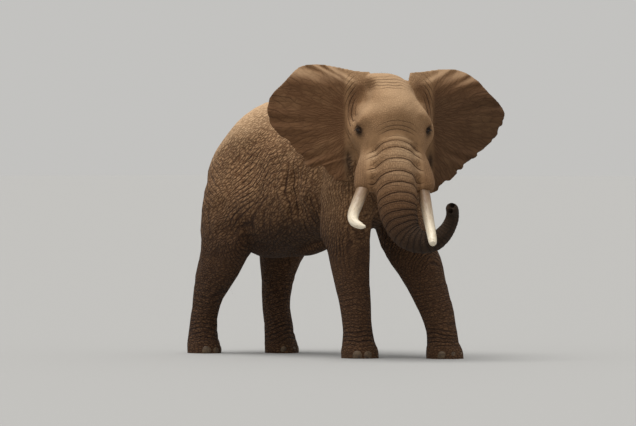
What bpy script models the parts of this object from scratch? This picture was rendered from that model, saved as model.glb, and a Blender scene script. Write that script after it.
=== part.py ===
"""A life-size African bush elephant bull, standing in mid step with its head turned to its right.

Metres, +Z up, soles at Z = 0. The body faces -Y and its right side is at -X.
The flesh is lofted in one piece, merged and smoothed, and then parted by thin cuts into named pieces.
"""

import math

import bmesh
import bpy
import numpy as np
from mathutils import Matrix, Vector

# Driving dimensions, in metres.
GAP = 0.0005  # between neighbouring pieces
VOXEL = 0.03  # of the grid that merges the lofts
FLESH_TRIANGLES = 2900
PLACE = Vector((0.272, 0.350, 0.0))  # moves the model so that its box is centred on the origin

# The head has a frame of its own: left, forward and up from the point between the eyes.
HEAD_AT = Vector((-0.52, -1.585, 2.765))
HEAD_TURN = math.radians(38)
FORWARD = Vector((-math.sin(HEAD_TURN), -math.cos(HEAD_TURN), 0))
LEFT = Vector((math.cos(HEAD_TURN), -math.sin(HEAD_TURN), 0))
UP = Vector((0, 0, 1))

# Torso stations: y, top, widest height, bottom, half width.
TORSO = (
    (-1.46, 2.40, 2.16, 1.98, 0.13),
    (-1.38, 2.64, 2.16, 1.84, 0.28),
    (-1.20, 2.92, 2.16, 1.74, 0.39),
    (-0.95, 3.14, 2.14, 1.66, 0.49),
    (-0.65, 3.22, 2.12, 1.55, 0.57),
    (-0.30, 3.18, 2.08, 1.48, 0.65),
    (0.10, 3.13, 2.02, 1.38, 0.70),
    (0.50, 3.12, 2.00, 1.25, 0.72),
    (0.90, 3.13, 2.04, 1.18, 0.70),
    (1.22, 3.00, 2.12, 1.26, 0.65),
    (1.49, 2.76, 2.14, 1.48, 0.55),
    (1.68, 2.50, 2.12, 1.70, 0.40),
    (1.78, 2.30, 2.08, 1.88, 0.18),
)
# The lobe under the belly: x, y, z and three half sizes.
BELLY_LOBE = (
    (0.0, 0.80, 1.28, 0.04, 0.04, 0.04),
    (0.0, 0.62, 1.29, 0.11, 0.09, 0.08),
    (0.0, 0.36, 1.33, 0.14, 0.11, 0.10),
    (0.0, 0.10, 1.38, 0.12, 0.10, 0.09),
    (0.0, -0.12, 1.43, 0.05, 0.05, 0.05),
)

# Leg sections: height, half width, half length behind, half length in front.
FORELEG = (
    (2.92, 0.10, 0.14, 0.14),
    (2.60, 0.20, 0.32, 0.28),
    (2.20, 0.25, 0.42, 0.36),
    (1.85, 0.26, 0.42, 0.33),
    (1.52, 0.25, 0.34, 0.29),
    (1.22, 0.225, 0.27, 0.26),
    (0.92, 0.20, 0.22, 0.22),
    (0.62, 0.18, 0.19, 0.20),
    (0.38, 0.172, 0.175, 0.185),
    (0.20, 0.185, 0.18, 0.20),
    (0.09, 0.212, 0.20, 0.25),
    (-0.12, 0.212, 0.20, 0.25),
)
HIND_LEG = (
    (2.75, 0.12, 0.16, 0.16),
    (2.40, 0.24, 0.36, 0.36),
    (2.00, 0.29, 0.46, 0.46),
    (1.60, 0.28, 0.42, 0.44),
    (1.28, 0.235, 0.32, 0.34),
    (0.95, 0.185, 0.22, 0.235),
    (0.65, 0.158, 0.185, 0.18),
    (0.42, 0.16, 0.18, 0.17),
    (0.22, 0.175, 0.19, 0.19),
    (0.09, 0.195, 0.205, 0.23),
    (-0.12, 0.195, 0.205, 0.23),
)
# Leg paths, from the withers or the hip down to below the sole: x, y, z.
LEG_PATHS = {
    "foreleg_right": ((-0.34, -0.60, 2.92), (-0.46, -0.86, 2.20), (-0.46, -0.79, 1.52), (-0.39, -0.79, 0.92),
                      (-0.355, -0.84, 0.38), (-0.34, -0.86, -0.12)),
    "foreleg_left": ((0.34, -0.60, 2.92), (0.43, -0.76, 2.20), (0.42, -0.89, 1.52), (0.34, -1.32, 0.92),
                     (0.285, -1.62, 0.38), (0.26, -1.71, -0.12)),
    "hind_leg_right": ((-0.30, 1.05, 2.75), (-0.42, 1.16, 2.00), (-0.46, 1.32, 1.28), (-0.42, 1.64, 0.72),
                       (-0.39, 1.765, 0.30), (-0.38, 1.77, -0.12)),
    "hind_leg_left": ((0.30, 1.05, 2.75), (0.42, 1.14, 2.00), (0.44, 1.22, 1.28), (0.40, 1.28, 0.72),
                      (0.35, 1.17, 0.30), (0.33, 1.11, -0.12)),
}
# Where the legs are parted: from the body, at the wrist or hock, and at the ankle.
FORELEG_CUTS = (1.36, 0.70, 0.26)
HIND_LEG_CUTS = (1.12, 0.60, 0.24)
# Tail stations: centre and radius. The tuft hangs from its end.
TAIL = (
    (0.00, 1.60, 2.50, 0.085),
    (0.00, 1.78, 2.38, 0.078),
    (0.00, 1.86, 2.16, 0.060),
    (0.01, 1.88, 1.88, 0.046),
    (0.02, 1.88, 1.55, 0.034),
    (0.03, 1.88, 1.15, 0.025),
)
TUFT_TOP = 1.22
TUFT = (
    (0.03, 1.88, 1.28, 0.026),
    (0.035, 1.885, 1.09, 0.060),
    (0.04, 1.89, 0.92, 0.055),
    (0.045, 1.895, 0.74, 0.012),
)

# Stations in the head's frame: left, forward, up, half width, half length behind, half length in front.
SKULL = (
    (-0.13, -0.18, 0.685, 0.10, 0.10, 0.10),
    (-0.09, -0.17, 0.64, 0.21, 0.20, 0.18),
    (-0.03, -0.15, 0.52, 0.275, 0.33, 0.30),
    (0, -0.11, 0.36, 0.335, 0.41, 0.40),
    (0, -0.08, 0.22, 0.42, 0.44, 0.44),
    (0, -0.06, 0.08, 0.46, 0.46, 0.44),
    (0, -0.04, -0.12, 0.46, 0.44, 0.42),
    (0, -0.02, -0.32, 0.40, 0.40, 0.42),
    (0, 0.04, -0.50, 0.36, 0.32, 0.38),
    (0, 0.12, -0.66, 0.28, 0.20, 0.32),
    (0, 0.18, -0.76, 0.16, 0.10, 0.20),
)
# The arch behind the temples that the ears grow from.
EAR_BASE = (
    (-0.06, -0.34, 0.63, 0.18, 0.08, 0.08),
    (-0.04, -0.33, 0.58, 0.33, 0.11, 0.10),
    (-0.01, -0.32, 0.47, 0.45, 0.12, 0.11),
    (0, -0.29, 0.32, 0.515, 0.13, 0.13),
    (0, -0.24, 0.12, 0.53, 0.15, 0.16),
    (0, -0.17, -0.08, 0.50, 0.18, 0.18),
    (0, -0.13, -0.26, 0.42, 0.17, 0.17),
)
# The broad muzzle that joins the trunk and the tusk sheaths.
MUZZLE = (
    (-0.01, 0.08, 0.12, 0.22, 0.16, 0.16),
    (-0.01, 0.12, -0.10, 0.32, 0.18, 0.20),
    (-0.01, 0.17, -0.32, 0.360, 0.18, 0.23),
    (-0.02, 0.23, -0.52, 0.385, 0.16, 0.24),
    (-0.02, 0.28, -0.68, 0.37, 0.12, 0.17),
    (-0.02, 0.30, -0.75, 0.32, 0.06, 0.08),
)
TRUNK = (
    (-0.02, 0.14, 0.06, 0.20, 0.18, 0.18),
    (-0.02, 0.20, -0.14, 0.24, 0.22, 0.22),
    (-0.02, 0.27, -0.38, 0.258, 0.24, 0.24),
    (-0.02, 0.35, -0.60, 0.255, 0.24, 0.24),
    (-0.01, 0.42, -0.82, 0.245, 0.22, 0.23),
    (0.01, 0.47, -1.04, 0.222, 0.20, 0.21),
    (0.09, 0.53, -1.24, 0.182, 0.17, 0.175),
    (0.24, 0.60, -1.34, 0.140, 0.14, 0.145),
    (0.41, 0.65, -1.33, 0.118, 0.115, 0.12),
    (0.53, 0.70, -1.22, 0.098, 0.098, 0.10),
    (0.595, 0.74, -1.09, 0.086, 0.086, 0.088),
    (0.605, 0.775, -0.995, 0.081, 0.081, 0.081),
    (0.59, 0.83, -0.945, 0.079, 0.079, 0.079),
    (0.568, 0.885, -0.935, 0.074, 0.074, 0.074),
)
JAW = (
    (0, -0.26, -0.36, 0.20, 0.12, 0.14),
    (0, -0.10, -0.50, 0.27, 0.16, 0.16),
    (0, 0.03, -0.66, 0.24, 0.15, 0.14),
    (0, 0.10, -0.80, 0.15, 0.10, 0.09),
    (0, 0.13, -0.91, 0.07, 0.06, 0.05),
)
# A tusk's sheath, mirrored for the other side and moved a little to the right with its tusk.
SHEATH = (
    (0.26, 0.08, -0.10, 0.12, 0.12, 0.12),
    (0.30, 0.15, -0.32, 0.118, 0.12, 0.12),
    (0.345, 0.22, -0.50, 0.122, 0.125, 0.125),
    (0.375, 0.28, -0.63, 0.118, 0.12, 0.12),
    (0.385, 0.31, -0.70, 0.104, 0.105, 0.105),
    (0.39, 0.325, -0.735, 0.075, 0.075, 0.075),
)
SHEATH_SHIFT = -0.02
NECK = (
    (0.02, -0.85, 2.46, 0.48, 0.58, 0.60),
    (-0.08, -1.08, 2.50, 0.42, 0.54, 0.56),
    (-0.24, -1.28, 2.56, 0.38, 0.50, 0.50),
    (-0.40, -1.42, 2.66, 0.35, 0.48, 0.44),
)
# Tusk stations: left, forward, up, radius.
TUSK_RIGHT = (
    (-0.36, 0.22, -0.50, 0.070),
    (-0.41, 0.32, -0.70, 0.072),
    (-0.49, 0.44, -0.87, 0.071),
    (-0.56, 0.58, -1.00, 0.066),
    (-0.575, 0.72, -1.09, 0.057),
    (-0.51, 0.82, -1.14, 0.040),
    (-0.46, 0.86, -1.15, 0.016),
)
TUSK_LEFT = (
    (0.32, 0.22, -0.55, 0.068),
    (0.335, 0.32, -0.76, 0.069),
    (0.345, 0.44, -0.94, 0.067),
    (0.355, 0.57, -1.10, 0.062),
    (0.36, 0.72, -1.24, 0.057),
    (0.355, 0.83, -1.33, 0.050),
    (0.35, 0.87, -1.355, 0.034),
)
# Ear outlines from the top inner corner round to the lower inner corner: away from the midline, up.
EAR_LEFT = (
    (0.25, 0.70), (0.42, 0.71), (0.62, 0.735), (0.82, 0.74), (0.98, 0.69), (1.12, 0.59), (1.26, 0.44),
    (1.40, 0.31), (1.455, 0.22), (1.43, 0.08), (1.38, -0.04), (1.24, -0.20), (1.08, -0.34), (0.93, -0.47),
    (0.80, -0.60), (0.64, -0.71), (0.50, -0.77), (0.42, -0.68),
)
EAR_RIGHT = (
    (0.25, 0.71), (0.42, 0.72), (0.62, 0.765), (0.85, 0.80), (1.03, 0.78), (1.15, 0.70), (1.28, 0.56),
    (1.41, 0.42), (1.46, 0.27), (1.43, 0.10), (1.36, -0.04), (1.20, -0.18), (1.09, -0.30), (1.02, -0.41),
    (0.93, -0.46), (0.80, -0.44), (0.70, -0.58), (0.56, -0.64), (0.47, -0.60),
)
EAR_ROOT = ((0.20, 0.50), (0.27, 0.40), (0.34, 0.20), (0.36, -0.05), (0.33, -0.25), (0.28, -0.40))
EAR_THICKNESS = 0.03
NAIL = (0.052, 0.03, 0.055)  # half sizes: across, through and up
EYE_RADIUS = 0.028
EYE = (0.418, 0.134, 0.003)
# Hollows and swellings. In the head's frame: centre (left, forward, up), radius, push (out, forward, up).
HEAD_PUSHES = (
    ((0.33, 0.02, 0.50), 0.10, (-0.03, -0.10, 0.0)),  # temple
    ((0.43, -0.02, 0.36), 0.11, (-0.05, -0.09, 0.0)),  # lower end of the temple
    ((0.50, -0.10, 0.20), 0.08, (-0.02, -0.05, 0.0)),  # between the brow and the ear
    ((0.50, -0.02, 0.06), 0.07, (0.03, 0.0, 0.0)),  # behind the brow
    ((0.00, 0.28, 0.26), 0.26, (0.0, 0.05, 0.0)),  # forehead
    ((0.38, 0.22, 0.18), 0.10, (0.03, 0.03, 0.0)),  # brow
    ((0.43, 0.15, 0.09), 0.06, (0.030, 0.022, -0.01)),  # the ridge over the eye
    ((0.37, 0.27, 0.0), 0.07, (-0.010, -0.025, 0.0)),  # hollow in front of the eye
    ((0.42, 0.20, -0.09), 0.06, (-0.014, -0.014, 0.0)),  # hollow under it
    ((0.48, 0.0, -0.06), 0.12, (0.04, 0.0, 0.0)),  # cheekbone
    ((0.42, 0.12, -0.28), 0.14, (-0.02, -0.03, 0.0)),  # cheek
    ((0.27, 0.44, -0.62), 0.08, (0.0, -0.04, 0.0)),  # groove between trunk and tusk sheath
    ((0.26, 0.40, -0.44), 0.08, (0.0, -0.04, 0.0)),  # its upper part
    ((0.26, 0.34, -0.26), 0.08, (0.0, -0.03, 0.0)),  # where it fades below the eye
)
# On the body: centre (x, y, z), radius, push.
BODY_PUSHES = (
    ((0.80, 0.70, 2.35), 0.30, (-0.05, 0.0, 0.0)),  # flank
    ((0.62, 1.00, 2.85), 0.25, (0.05, 0.0, 0.03)),  # hip
    ((0.62, -0.62, 2.60), 0.28, (0.05, 0.0, 0.0)),  # shoulder blade
    ((0.58, -0.30, 2.30), 0.22, (-0.03, 0.0, 0.0)),  # behind the shoulder
    ((0.67, -0.04, 2.16), 0.10, (-0.060, 0.0, 0.0)),  # fold behind the upper foreleg
    ((0.68, -0.06, 1.98), 0.10, (-0.090, 0.0, 0.0)),  # its middle
    ((0.66, -0.07, 1.80), 0.10, (-0.080, 0.0, 0.0)),  # its lower end
    ((0.64, -0.24, 1.95), 0.11, (0.045, 0.0, 0.0)),  # the ridge before it
    ((0.68, 1.14, 1.80), 0.12, (-0.045, 0.0, 0.0)),  # between belly and thigh
    ((0.68, 1.05, 1.52), 0.13, (-0.060, 0.0, 0.0)),  # its lower end
    ((0.72, 0.80, 1.75), 0.22, (0.035, 0.0, 0.0)),  # belly before it
    ((0.52, -0.55, 1.55), 0.16, (0.03, 0.05, 0.0)),  # elbow
    ((0.72, 0.95, 1.35), 0.18, (0.02, -0.04, 0.0)),  # knee
)


def in_head(left, forward, up):
    return HEAD_AT + LEFT * left + FORWARD * forward + UP * up


def head_rows(rows, side=1, shift=0.0):
    return [(*in_head(side * row[0] + shift, *row[1:3]), *row[3:]) for row in rows]


def smooth_rows(rows, count):
    """Catmull-Rom curve through the rows, which may hold positions and radii together."""
    rows = np.array(rows, float)
    held = np.vstack([2 * rows[0] - rows[1], rows, 2 * rows[-1] - rows[-2]])
    t = np.linspace(0, len(rows) - 1, count)
    i = np.minimum(t.astype(int), len(rows) - 2)
    f = (t - i)[:, None]
    a, b, c, d = (held[i + k] for k in range(4))
    return 0.5 * (2 * b + (c - a) * f + (2 * a - 5 * b + 4 * c - d) * f**2 + (3 * b - a - 3 * c + d) * f**3)


def rings(rows, across, count, sides, squareness=2.0, facing=None):
    """Rings of a loft. Rows hold a centre, the half width along across and the half lengths to the two other sides.

    The rings stand square to the loft's path, or to facing where that is given.
    """
    rows = smooth_rows(rows, count)
    centre = rows[:, :3]
    across = np.array(across, float)
    along = np.gradient(centre, axis=0) if facing is None else np.broadcast_to(np.array(facing, float), centre.shape)
    along = along / np.linalg.norm(along, axis=1)[:, None]
    u = across - (along @ across)[:, None] * along
    u /= np.linalg.norm(u, axis=1)[:, None]
    v = np.cross(u, along)
    angle = np.linspace(0, 2 * math.pi, sides, endpoint=False)
    c = np.sign(np.cos(angle)) * np.abs(np.cos(angle)) ** (2 / squareness)
    s = np.sign(np.sin(angle)) * np.abs(np.sin(angle)) ** (2 / squareness)
    length = np.where(s > 0, rows[:, 4:5], rows[:, 5:6])
    return (
        centre[:, None]
        + u[:, None] * (rows[:, 3:4] * c)[..., None]
        + v[:, None] * (length * s)[..., None]
    )


def add_loft(bm, ring_points):
    """Skins a stack of rings and closes both ends."""
    loops = [[bm.verts.new(p) for p in ring] for ring in ring_points]
    for low, high in zip(loops, loops[1:]):
        for i in range(len(low)):
            j = (i + 1) % len(low)
            bm.faces.new((low[i], low[j], high[j], high[i]))
    bm.faces.new(loops[0][::-1])
    bm.faces.new(loops[-1])


def link(obj):
    bpy.data.collections["elephant"].objects.link(obj)
    return obj


def mesh_object(name, bm):
    bmesh.ops.recalc_face_normals(bm, faces=bm.faces)
    mesh = bpy.data.meshes.new(name)
    bm.to_mesh(mesh)
    bm.free()
    return link(bpy.data.objects.new(name, mesh))


def torso_rows():
    return [(0, y, wide, half, top - wide, wide - bottom) for y, top, wide, bottom, half in TORSO]


def leg_rows(sections, path):
    """Level sections along a leg's path. Where the leg leans forward or back they are longer."""
    path = smooth_rows(path, 200)[::-1]
    lean = np.gradient(path[:, 1], path[:, 2])
    rows = []
    for height, half_width, behind, ahead in sections:
        x, y, slope = (np.interp(height, path[:, 2], values) for values in (path[:, 0], path[:, 1], lean))
        stretch = 1 + 0.8 * slope**2
        rows.append((x, y, height, half_width, behind * stretch, ahead * stretch))
    return rows


def lofted_flesh():
    bm = bmesh.new()
    add_loft(bm, rings(torso_rows(), (1, 0, 0), 60, 40, facing=(0, 1, 0)))
    for name, path in LEG_PATHS.items():
        sections = FORELEG if "fore" in name else HIND_LEG
        add_loft(bm, rings(leg_rows(sections, path), (1, 0, 0), 60, 28, 2.1, facing=(0, 0, -1)))
    add_loft(bm, rings(BELLY_LOBE, (1, 0, 0), 24, 20))
    add_loft(bm, rings(head_rows(SKULL), LEFT, 40, 36, 2.15, facing=(0, 0, -1)))
    add_loft(bm, rings(head_rows(EAR_BASE), LEFT, 40, 36, 2.3, facing=(0, 0, -1)))
    add_loft(bm, rings(head_rows(MUZZLE), LEFT, 40, 36, 2.3))
    add_loft(bm, rings(head_rows(TRUNK), LEFT, 60, 28))
    add_loft(bm, rings(head_rows(JAW), LEFT, 24, 24))
    for side in (-1, 1):
        add_loft(bm, rings(head_rows(SHEATH, side, SHEATH_SHIFT), LEFT, 24, 20))
    add_loft(bm, rings(NECK, (0.8, -0.6, 0), 24, 32))
    return mesh_object("flesh", bm)


def round_rows(rows):
    """Stations with a radius, as stations with three."""
    return [(*row, row[3], row[3]) for row in rows]


def tube(name, rows, across, count, sides):
    bm = bmesh.new()
    add_loft(bm, rings(round_rows(rows), across, count, sides))
    return mesh_object(name, bm)


def ear(name, outline, side):
    """A sheet from the ear's root to its outline, swept back and thickened."""
    count, deep = 24, 4
    rim = smooth_rows(outline, count)
    root = smooth_rows(EAR_ROOT, count)
    t = np.linspace(0, 1, deep)[:, None, None]
    flat = root * (1 - t) + rim * t
    away = flat[..., 0]
    back = -0.20 - 0.26 * (away - 0.35)
    bm = bmesh.new()
    grid = [
        [bm.verts.new(in_head(side * away[i, j], back[i, j], flat[i, j, 1])) for j in range(count)]
        for i in range(deep)
    ]
    for i in range(deep - 1):
        for j in range(count - 1):
            bm.faces.new((grid[i][j], grid[i][j + 1], grid[i + 1][j + 1], grid[i + 1][j]))
    obj = mesh_object(name, bm)
    thick = obj.modifiers.new("thick", "SOLIDIFY")
    thick.thickness = EAR_THICKNESS
    thick.offset = 0
    return obj


def eyeball(name, side):
    bm = bmesh.new()
    bmesh.ops.create_uvsphere(bm, u_segments=12, v_segments=7, radius=EYE_RADIUS)
    bm.transform(Matrix.Translation(in_head(side * EYE[0], *EYE[1:])))
    return mesh_object(name, bm)


def block(low, high, turn=0.0, at=(0, 0, 0)):
    """A box from its lowest to its highest corner, turned about Z and then moved."""
    bm = bmesh.new()
    bmesh.ops.create_cube(bm, size=1)
    low, high = Vector(low), Vector(high)
    scale = Matrix.Diagonal((*(high - low), 1))
    bm.transform(Matrix.Translation(at) @ Matrix.Rotation(turn, 4, "Z") @ Matrix.Translation((low + high) / 2) @ scale)
    return mesh_object("cutter", bm)


def head_block(low, high):
    """A box in the head's frame, where x is left, y is backward and z is up."""
    return block(low, high, turn=-HEAD_TURN, at=HEAD_AT)


def bake(obj):
    """Puts the evaluated mesh in place of the modifiers."""
    evaluated = obj.evaluated_get(bpy.context.evaluated_depsgraph_get())
    mesh = bpy.data.meshes.new_from_object(evaluated)
    obj.modifiers.clear()
    obj.data = mesh
    return obj


def boolean(obj, cutter, operation):
    cut = obj.modifiers.new("cut", "BOOLEAN")
    cut.object = cutter
    cut.operation = operation
    return bake(obj)


def copy(obj, name):
    return link(bpy.data.objects.new(name, obj.data.copy()))


def grown(obj, by):
    """A copy whose surface lies further out."""
    twin = copy(obj, "cutter")
    swell = twin.modifiers.new("swell", "DISPLACE")
    swell.strength = by
    swell.mid_level = 0
    return bake(twin)


def subtract(obj, cutter):
    boolean(obj, cutter, "DIFFERENCE")
    bpy.data.objects.remove(cutter)


def part_off(flesh, name, cutter):
    """Cuts the named piece off the flesh with a box and leaves the gap on the flesh's side."""
    piece = boolean(copy(flesh, name), cutter, "INTERSECT")
    subtract(flesh, grown(cutter, GAP))
    bpy.data.objects.remove(cutter)
    return piece


def clear_scene():
    for obj in list(bpy.data.objects):
        bpy.data.objects.remove(obj)


def push(points, centre, radius, by):
    """Moves the points near a centre, fading smoothly with distance."""
    away = np.sum((points - np.array(centre)) ** 2, axis=1) / radius**2
    return points + np.exp(-away)[:, None] * np.array(by)


def sculpt(obj):
    """Hollows and swellings that the lofts lack."""
    points = np.empty(len(obj.data.vertices) * 3, np.float32)
    obj.data.vertices.foreach_get("co", points)
    points = points.reshape(-1, 3).astype(float)
    for (left, forward, up), radius, (out, ahead, rise) in HEAD_PUSHES:
        for side in (-1, 1) if left else (1,):
            by = LEFT * (side * out) + FORWARD * ahead + UP * rise
            points = push(points, in_head(side * left, forward, up), radius, by)
    for (x, y, z), radius, (dx, dy, dz) in BODY_PUSHES:
        for side in (-1, 1) if x else (1,):
            points = push(points, (side * x, y, z), radius, (side * dx, dy, dz))
    obj.data.vertices.foreach_set("co", points.astype(np.float32).ravel())
    obj.data.update()


def merged_flesh():
    flesh = lofted_flesh()
    merge = flesh.modifiers.new("merge", "REMESH")
    merge.mode = "VOXEL"
    merge.voxel_size = VOXEL
    soften = flesh.modifiers.new("soften", "SMOOTH")
    soften.factor = 0.5
    soften.iterations = 6
    bake(flesh)
    sculpt(flesh)
    reduce = flesh.modifiers.new("reduce", "DECIMATE")
    reduce.ratio = FLESH_TRIANGLES / (2 * len(flesh.data.polygons))
    bake(flesh)
    subtract(flesh, block((-3, -3, -1), (3, 3, 0)))
    return flesh


def toenails(foot, at, half_width, front, count):
    """Nails round the front of a foot, joined to it."""
    for i in range(count):
        angle = math.radians(34) * (i - (count - 1) / 2)
        x = at[0] + (half_width - 0.012) * math.sin(angle) * 1.12
        y = at[1] - (front - 0.012) * math.cos(angle)
        bm = bmesh.new()
        bmesh.ops.create_uvsphere(bm, u_segments=6, v_segments=4, radius=1)
        scale = Matrix.Diagonal((NAIL[0], NAIL[1], NAIL[2], 1))
        bm.transform(Matrix.Translation((x, y, 0.07)) @ Matrix.Rotation(angle, 4, "Z") @ scale)
        nail = mesh_object("nail", bm)
        subtract(nail, block((-3, -3, -1), (3, 3, 0)))
        boolean(foot, nail, "UNION")
        bpy.data.objects.remove(nail)


def part_legs(flesh):
    for name, path in LEG_PATHS.items():
        fore = "fore" in name
        body, middle, ankle = FORELEG_CUTS if fore else HIND_LEG_CUTS
        x = (0, 1.2) if path[0][0] > 0 else (-1.2, 0)
        y = (-2.4, -0.30) if fore else (0.3, 2.4)
        sections = FORELEG if fore else HIND_LEG
        foot_at = leg_rows(sections, path)[-2]
        foot = part_off(flesh, name + "_foot", block((x[0], y[0], -0.5), (x[1], y[1], ankle)))
        toenails(foot, foot_at, sections[-2][1], sections[-2][3], 4 if fore else 3)
        part_off(flesh, name + "_lower", block((x[0], y[0], -0.5), (x[1], y[1], middle)))
        part_off(flesh, name + "_upper", block((x[0], y[0], -0.5), (x[1], y[1], body)))


def material(name, colour, roughness):
    """A plain material from an sRGB hex colour."""
    channels = [int(colour[i:i + 2], 16) / 255 for i in (0, 2, 4)]
    linear = [c / 12.92 if c <= 0.04045 else ((c + 0.055) / 1.055) ** 2.4 for c in channels]
    made = bpy.data.materials.new(name)
    made.use_nodes = True
    shader = made.node_tree.nodes["Principled BSDF"]
    shader.inputs["Base Color"].default_value = (*linear, 1)
    shader.inputs["Roughness"].default_value = roughness
    return made


def finish():
    """Gives each piece its material and hangs it from one empty, which centres the model."""
    hide = material("hide", "7A5C48", 0.9)
    others = {
        "tusk": material("ivory", "E2D3B8", 0.45),
        "eye": material("eye", "1E1410", 0.1),
        "tail_tuft": material("hair", "2A211C", 0.8),
    }
    base = link(bpy.data.objects.new("elephant_at", None))
    base.location = PLACE
    for obj in bpy.data.objects:
        if obj.type == "MESH":
            obj.data.materials.clear()
            obj.data.materials.append(next((m for start, m in others.items() if obj.name.startswith(start)), hide))
            obj.parent = base


def main():
    clear_scene()
    bpy.context.scene.collection.children.link(bpy.data.collections.new("elephant"))
    flesh = merged_flesh()
    hide = grown(flesh, GAP)
    for name, outline, side in (("ear_right", EAR_RIGHT, -1), ("ear_left", EAR_LEFT, 1)):
        boolean(ear(name, outline, side), hide, "DIFFERENCE")
    tail = boolean(tube("tail", TAIL, (1, 0, 0), 12, 8), hide, "DIFFERENCE")
    subtract(tail, block((-1, 1, 0), (1, 3, TUFT_TOP + GAP)))
    subtract(tube("tail_tuft", TUFT, (1, 0, 0), 8, 8), block((-1, 1, TUFT_TOP), (1, 3, 3)))
    bpy.data.objects.remove(hide)
    set_in = [
        eyeball("eye_right", -1),
        eyeball("eye_left", 1),
        tube("tusk_right", head_rows(TUSK_RIGHT), LEFT, 12, 8),
        tube("tusk_left", head_rows(TUSK_LEFT), LEFT, 12, 8),
    ]
    for piece in set_in:
        subtract(flesh, grown(piece, 2 * GAP))
    part_off(flesh, "trunk_tip", head_block((0.38, -1.2, -1.6), (1.2, -0.42, -0.6)))
    part_off(flesh, "trunk_middle", head_block((-0.6, -1.2, -1.7), (0.6, -0.2, -1.16)))
    part_off(flesh, "trunk_upper", head_block((-0.3, -1.2, -1.7), (0.3, -0.2, -0.88)))
    part_off(flesh, "lower_jaw", head_block((-0.32, -0.19, -1.3), (0.32, 0.36, -0.62)))
    part_off(flesh, "head", head_block((-0.8, -1.2, -1.4), (0.8, 0.36, 1.2)))
    part_off(flesh, "neck", block((-1, -1.2, -0.6), (1, 0, 1.5), turn=math.radians(-19), at=(-0.15, -1.18, 2.2)))
    part_legs(flesh)
    part_off(flesh, "chest", block((-1.2, -2, 0), (1.2, -0.25, 4)))
    part_off(flesh, "rump", block((-1.2, 0.80, 0), (1.2, 3, 4)))
    flesh.name = "belly"
    finish()


main()
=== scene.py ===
"""Skin, eyes, tusks, toenails and hair of a life-size African bush elephant bull, and its studio.

Metres, +Z up, soles at Z = 0. The body faces -Y and its right side is at -X.
Shapes are worked out before PLACE centres the model, as the solids are.
"""

import itertools
import math
from types import SimpleNamespace

import bmesh
import bpy
import numpy as np
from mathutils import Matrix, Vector


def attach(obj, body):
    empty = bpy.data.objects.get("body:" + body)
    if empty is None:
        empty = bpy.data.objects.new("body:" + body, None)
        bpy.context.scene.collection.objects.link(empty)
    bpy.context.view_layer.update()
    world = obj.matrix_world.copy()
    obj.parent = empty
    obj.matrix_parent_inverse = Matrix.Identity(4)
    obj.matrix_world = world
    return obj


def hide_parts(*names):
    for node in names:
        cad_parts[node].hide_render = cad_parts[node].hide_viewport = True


bl_info = {
    "name": "Elephant Bull",
    "version": (1, 0, 0),
    "blender": (4, 5, 0),
    "location": "3D View > Sidebar > Elephant",
    "description": "Builds the skin, eyes, tusks, toenails and hair of a standing African elephant",
    "category": "Mesh",
}

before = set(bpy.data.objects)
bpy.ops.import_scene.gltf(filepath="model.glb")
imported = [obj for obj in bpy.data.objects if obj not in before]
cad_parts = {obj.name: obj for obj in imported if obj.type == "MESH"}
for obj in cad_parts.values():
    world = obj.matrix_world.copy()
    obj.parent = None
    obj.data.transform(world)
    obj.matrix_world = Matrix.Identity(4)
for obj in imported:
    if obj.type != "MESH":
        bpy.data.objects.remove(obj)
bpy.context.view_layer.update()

PLACE = np.array([0.272, 0.350, 0.0])  # from the working frame to the model's own

# The head has a frame of its own: left, forward and up from the point between the eyes.
HEAD_AT = np.array([-0.52, -1.585, 2.765])
HEAD_TURN = math.radians(38)
FORWARD = np.array([-math.sin(HEAD_TURN), -math.cos(HEAD_TURN), 0])
LEFT = np.array([math.cos(HEAD_TURN), -math.sin(HEAD_TURN), 0])
UP = np.array([0.0, 0.0, 1.0])

# Torso stations: y, top, widest height, bottom, half width.
TORSO = (
    (-1.46, 2.40, 2.16, 1.98, 0.13),
    (-1.38, 2.64, 2.16, 1.84, 0.28),
    (-1.20, 2.92, 2.16, 1.74, 0.39),
    (-0.95, 3.14, 2.14, 1.66, 0.49),
    (-0.65, 3.22, 2.12, 1.55, 0.57),
    (-0.30, 3.18, 2.08, 1.48, 0.65),
    (0.10, 3.13, 2.02, 1.38, 0.70),
    (0.50, 3.12, 2.00, 1.25, 0.72),
    (0.90, 3.13, 2.04, 1.18, 0.70),
    (1.22, 3.00, 2.12, 1.26, 0.65),
    (1.49, 2.76, 2.14, 1.48, 0.55),
    (1.68, 2.50, 2.12, 1.70, 0.40),
    (1.78, 2.30, 2.08, 1.88, 0.18),
)
# The lobe under the belly: x, y, z and three half sizes.
BELLY_LOBE = (
    (0.0, 0.80, 1.28, 0.04, 0.04, 0.04),
    (0.0, 0.62, 1.29, 0.11, 0.09, 0.08),
    (0.0, 0.36, 1.33, 0.14, 0.11, 0.10),
    (0.0, 0.10, 1.38, 0.12, 0.10, 0.09),
    (0.0, -0.12, 1.43, 0.05, 0.05, 0.05),
)

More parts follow.
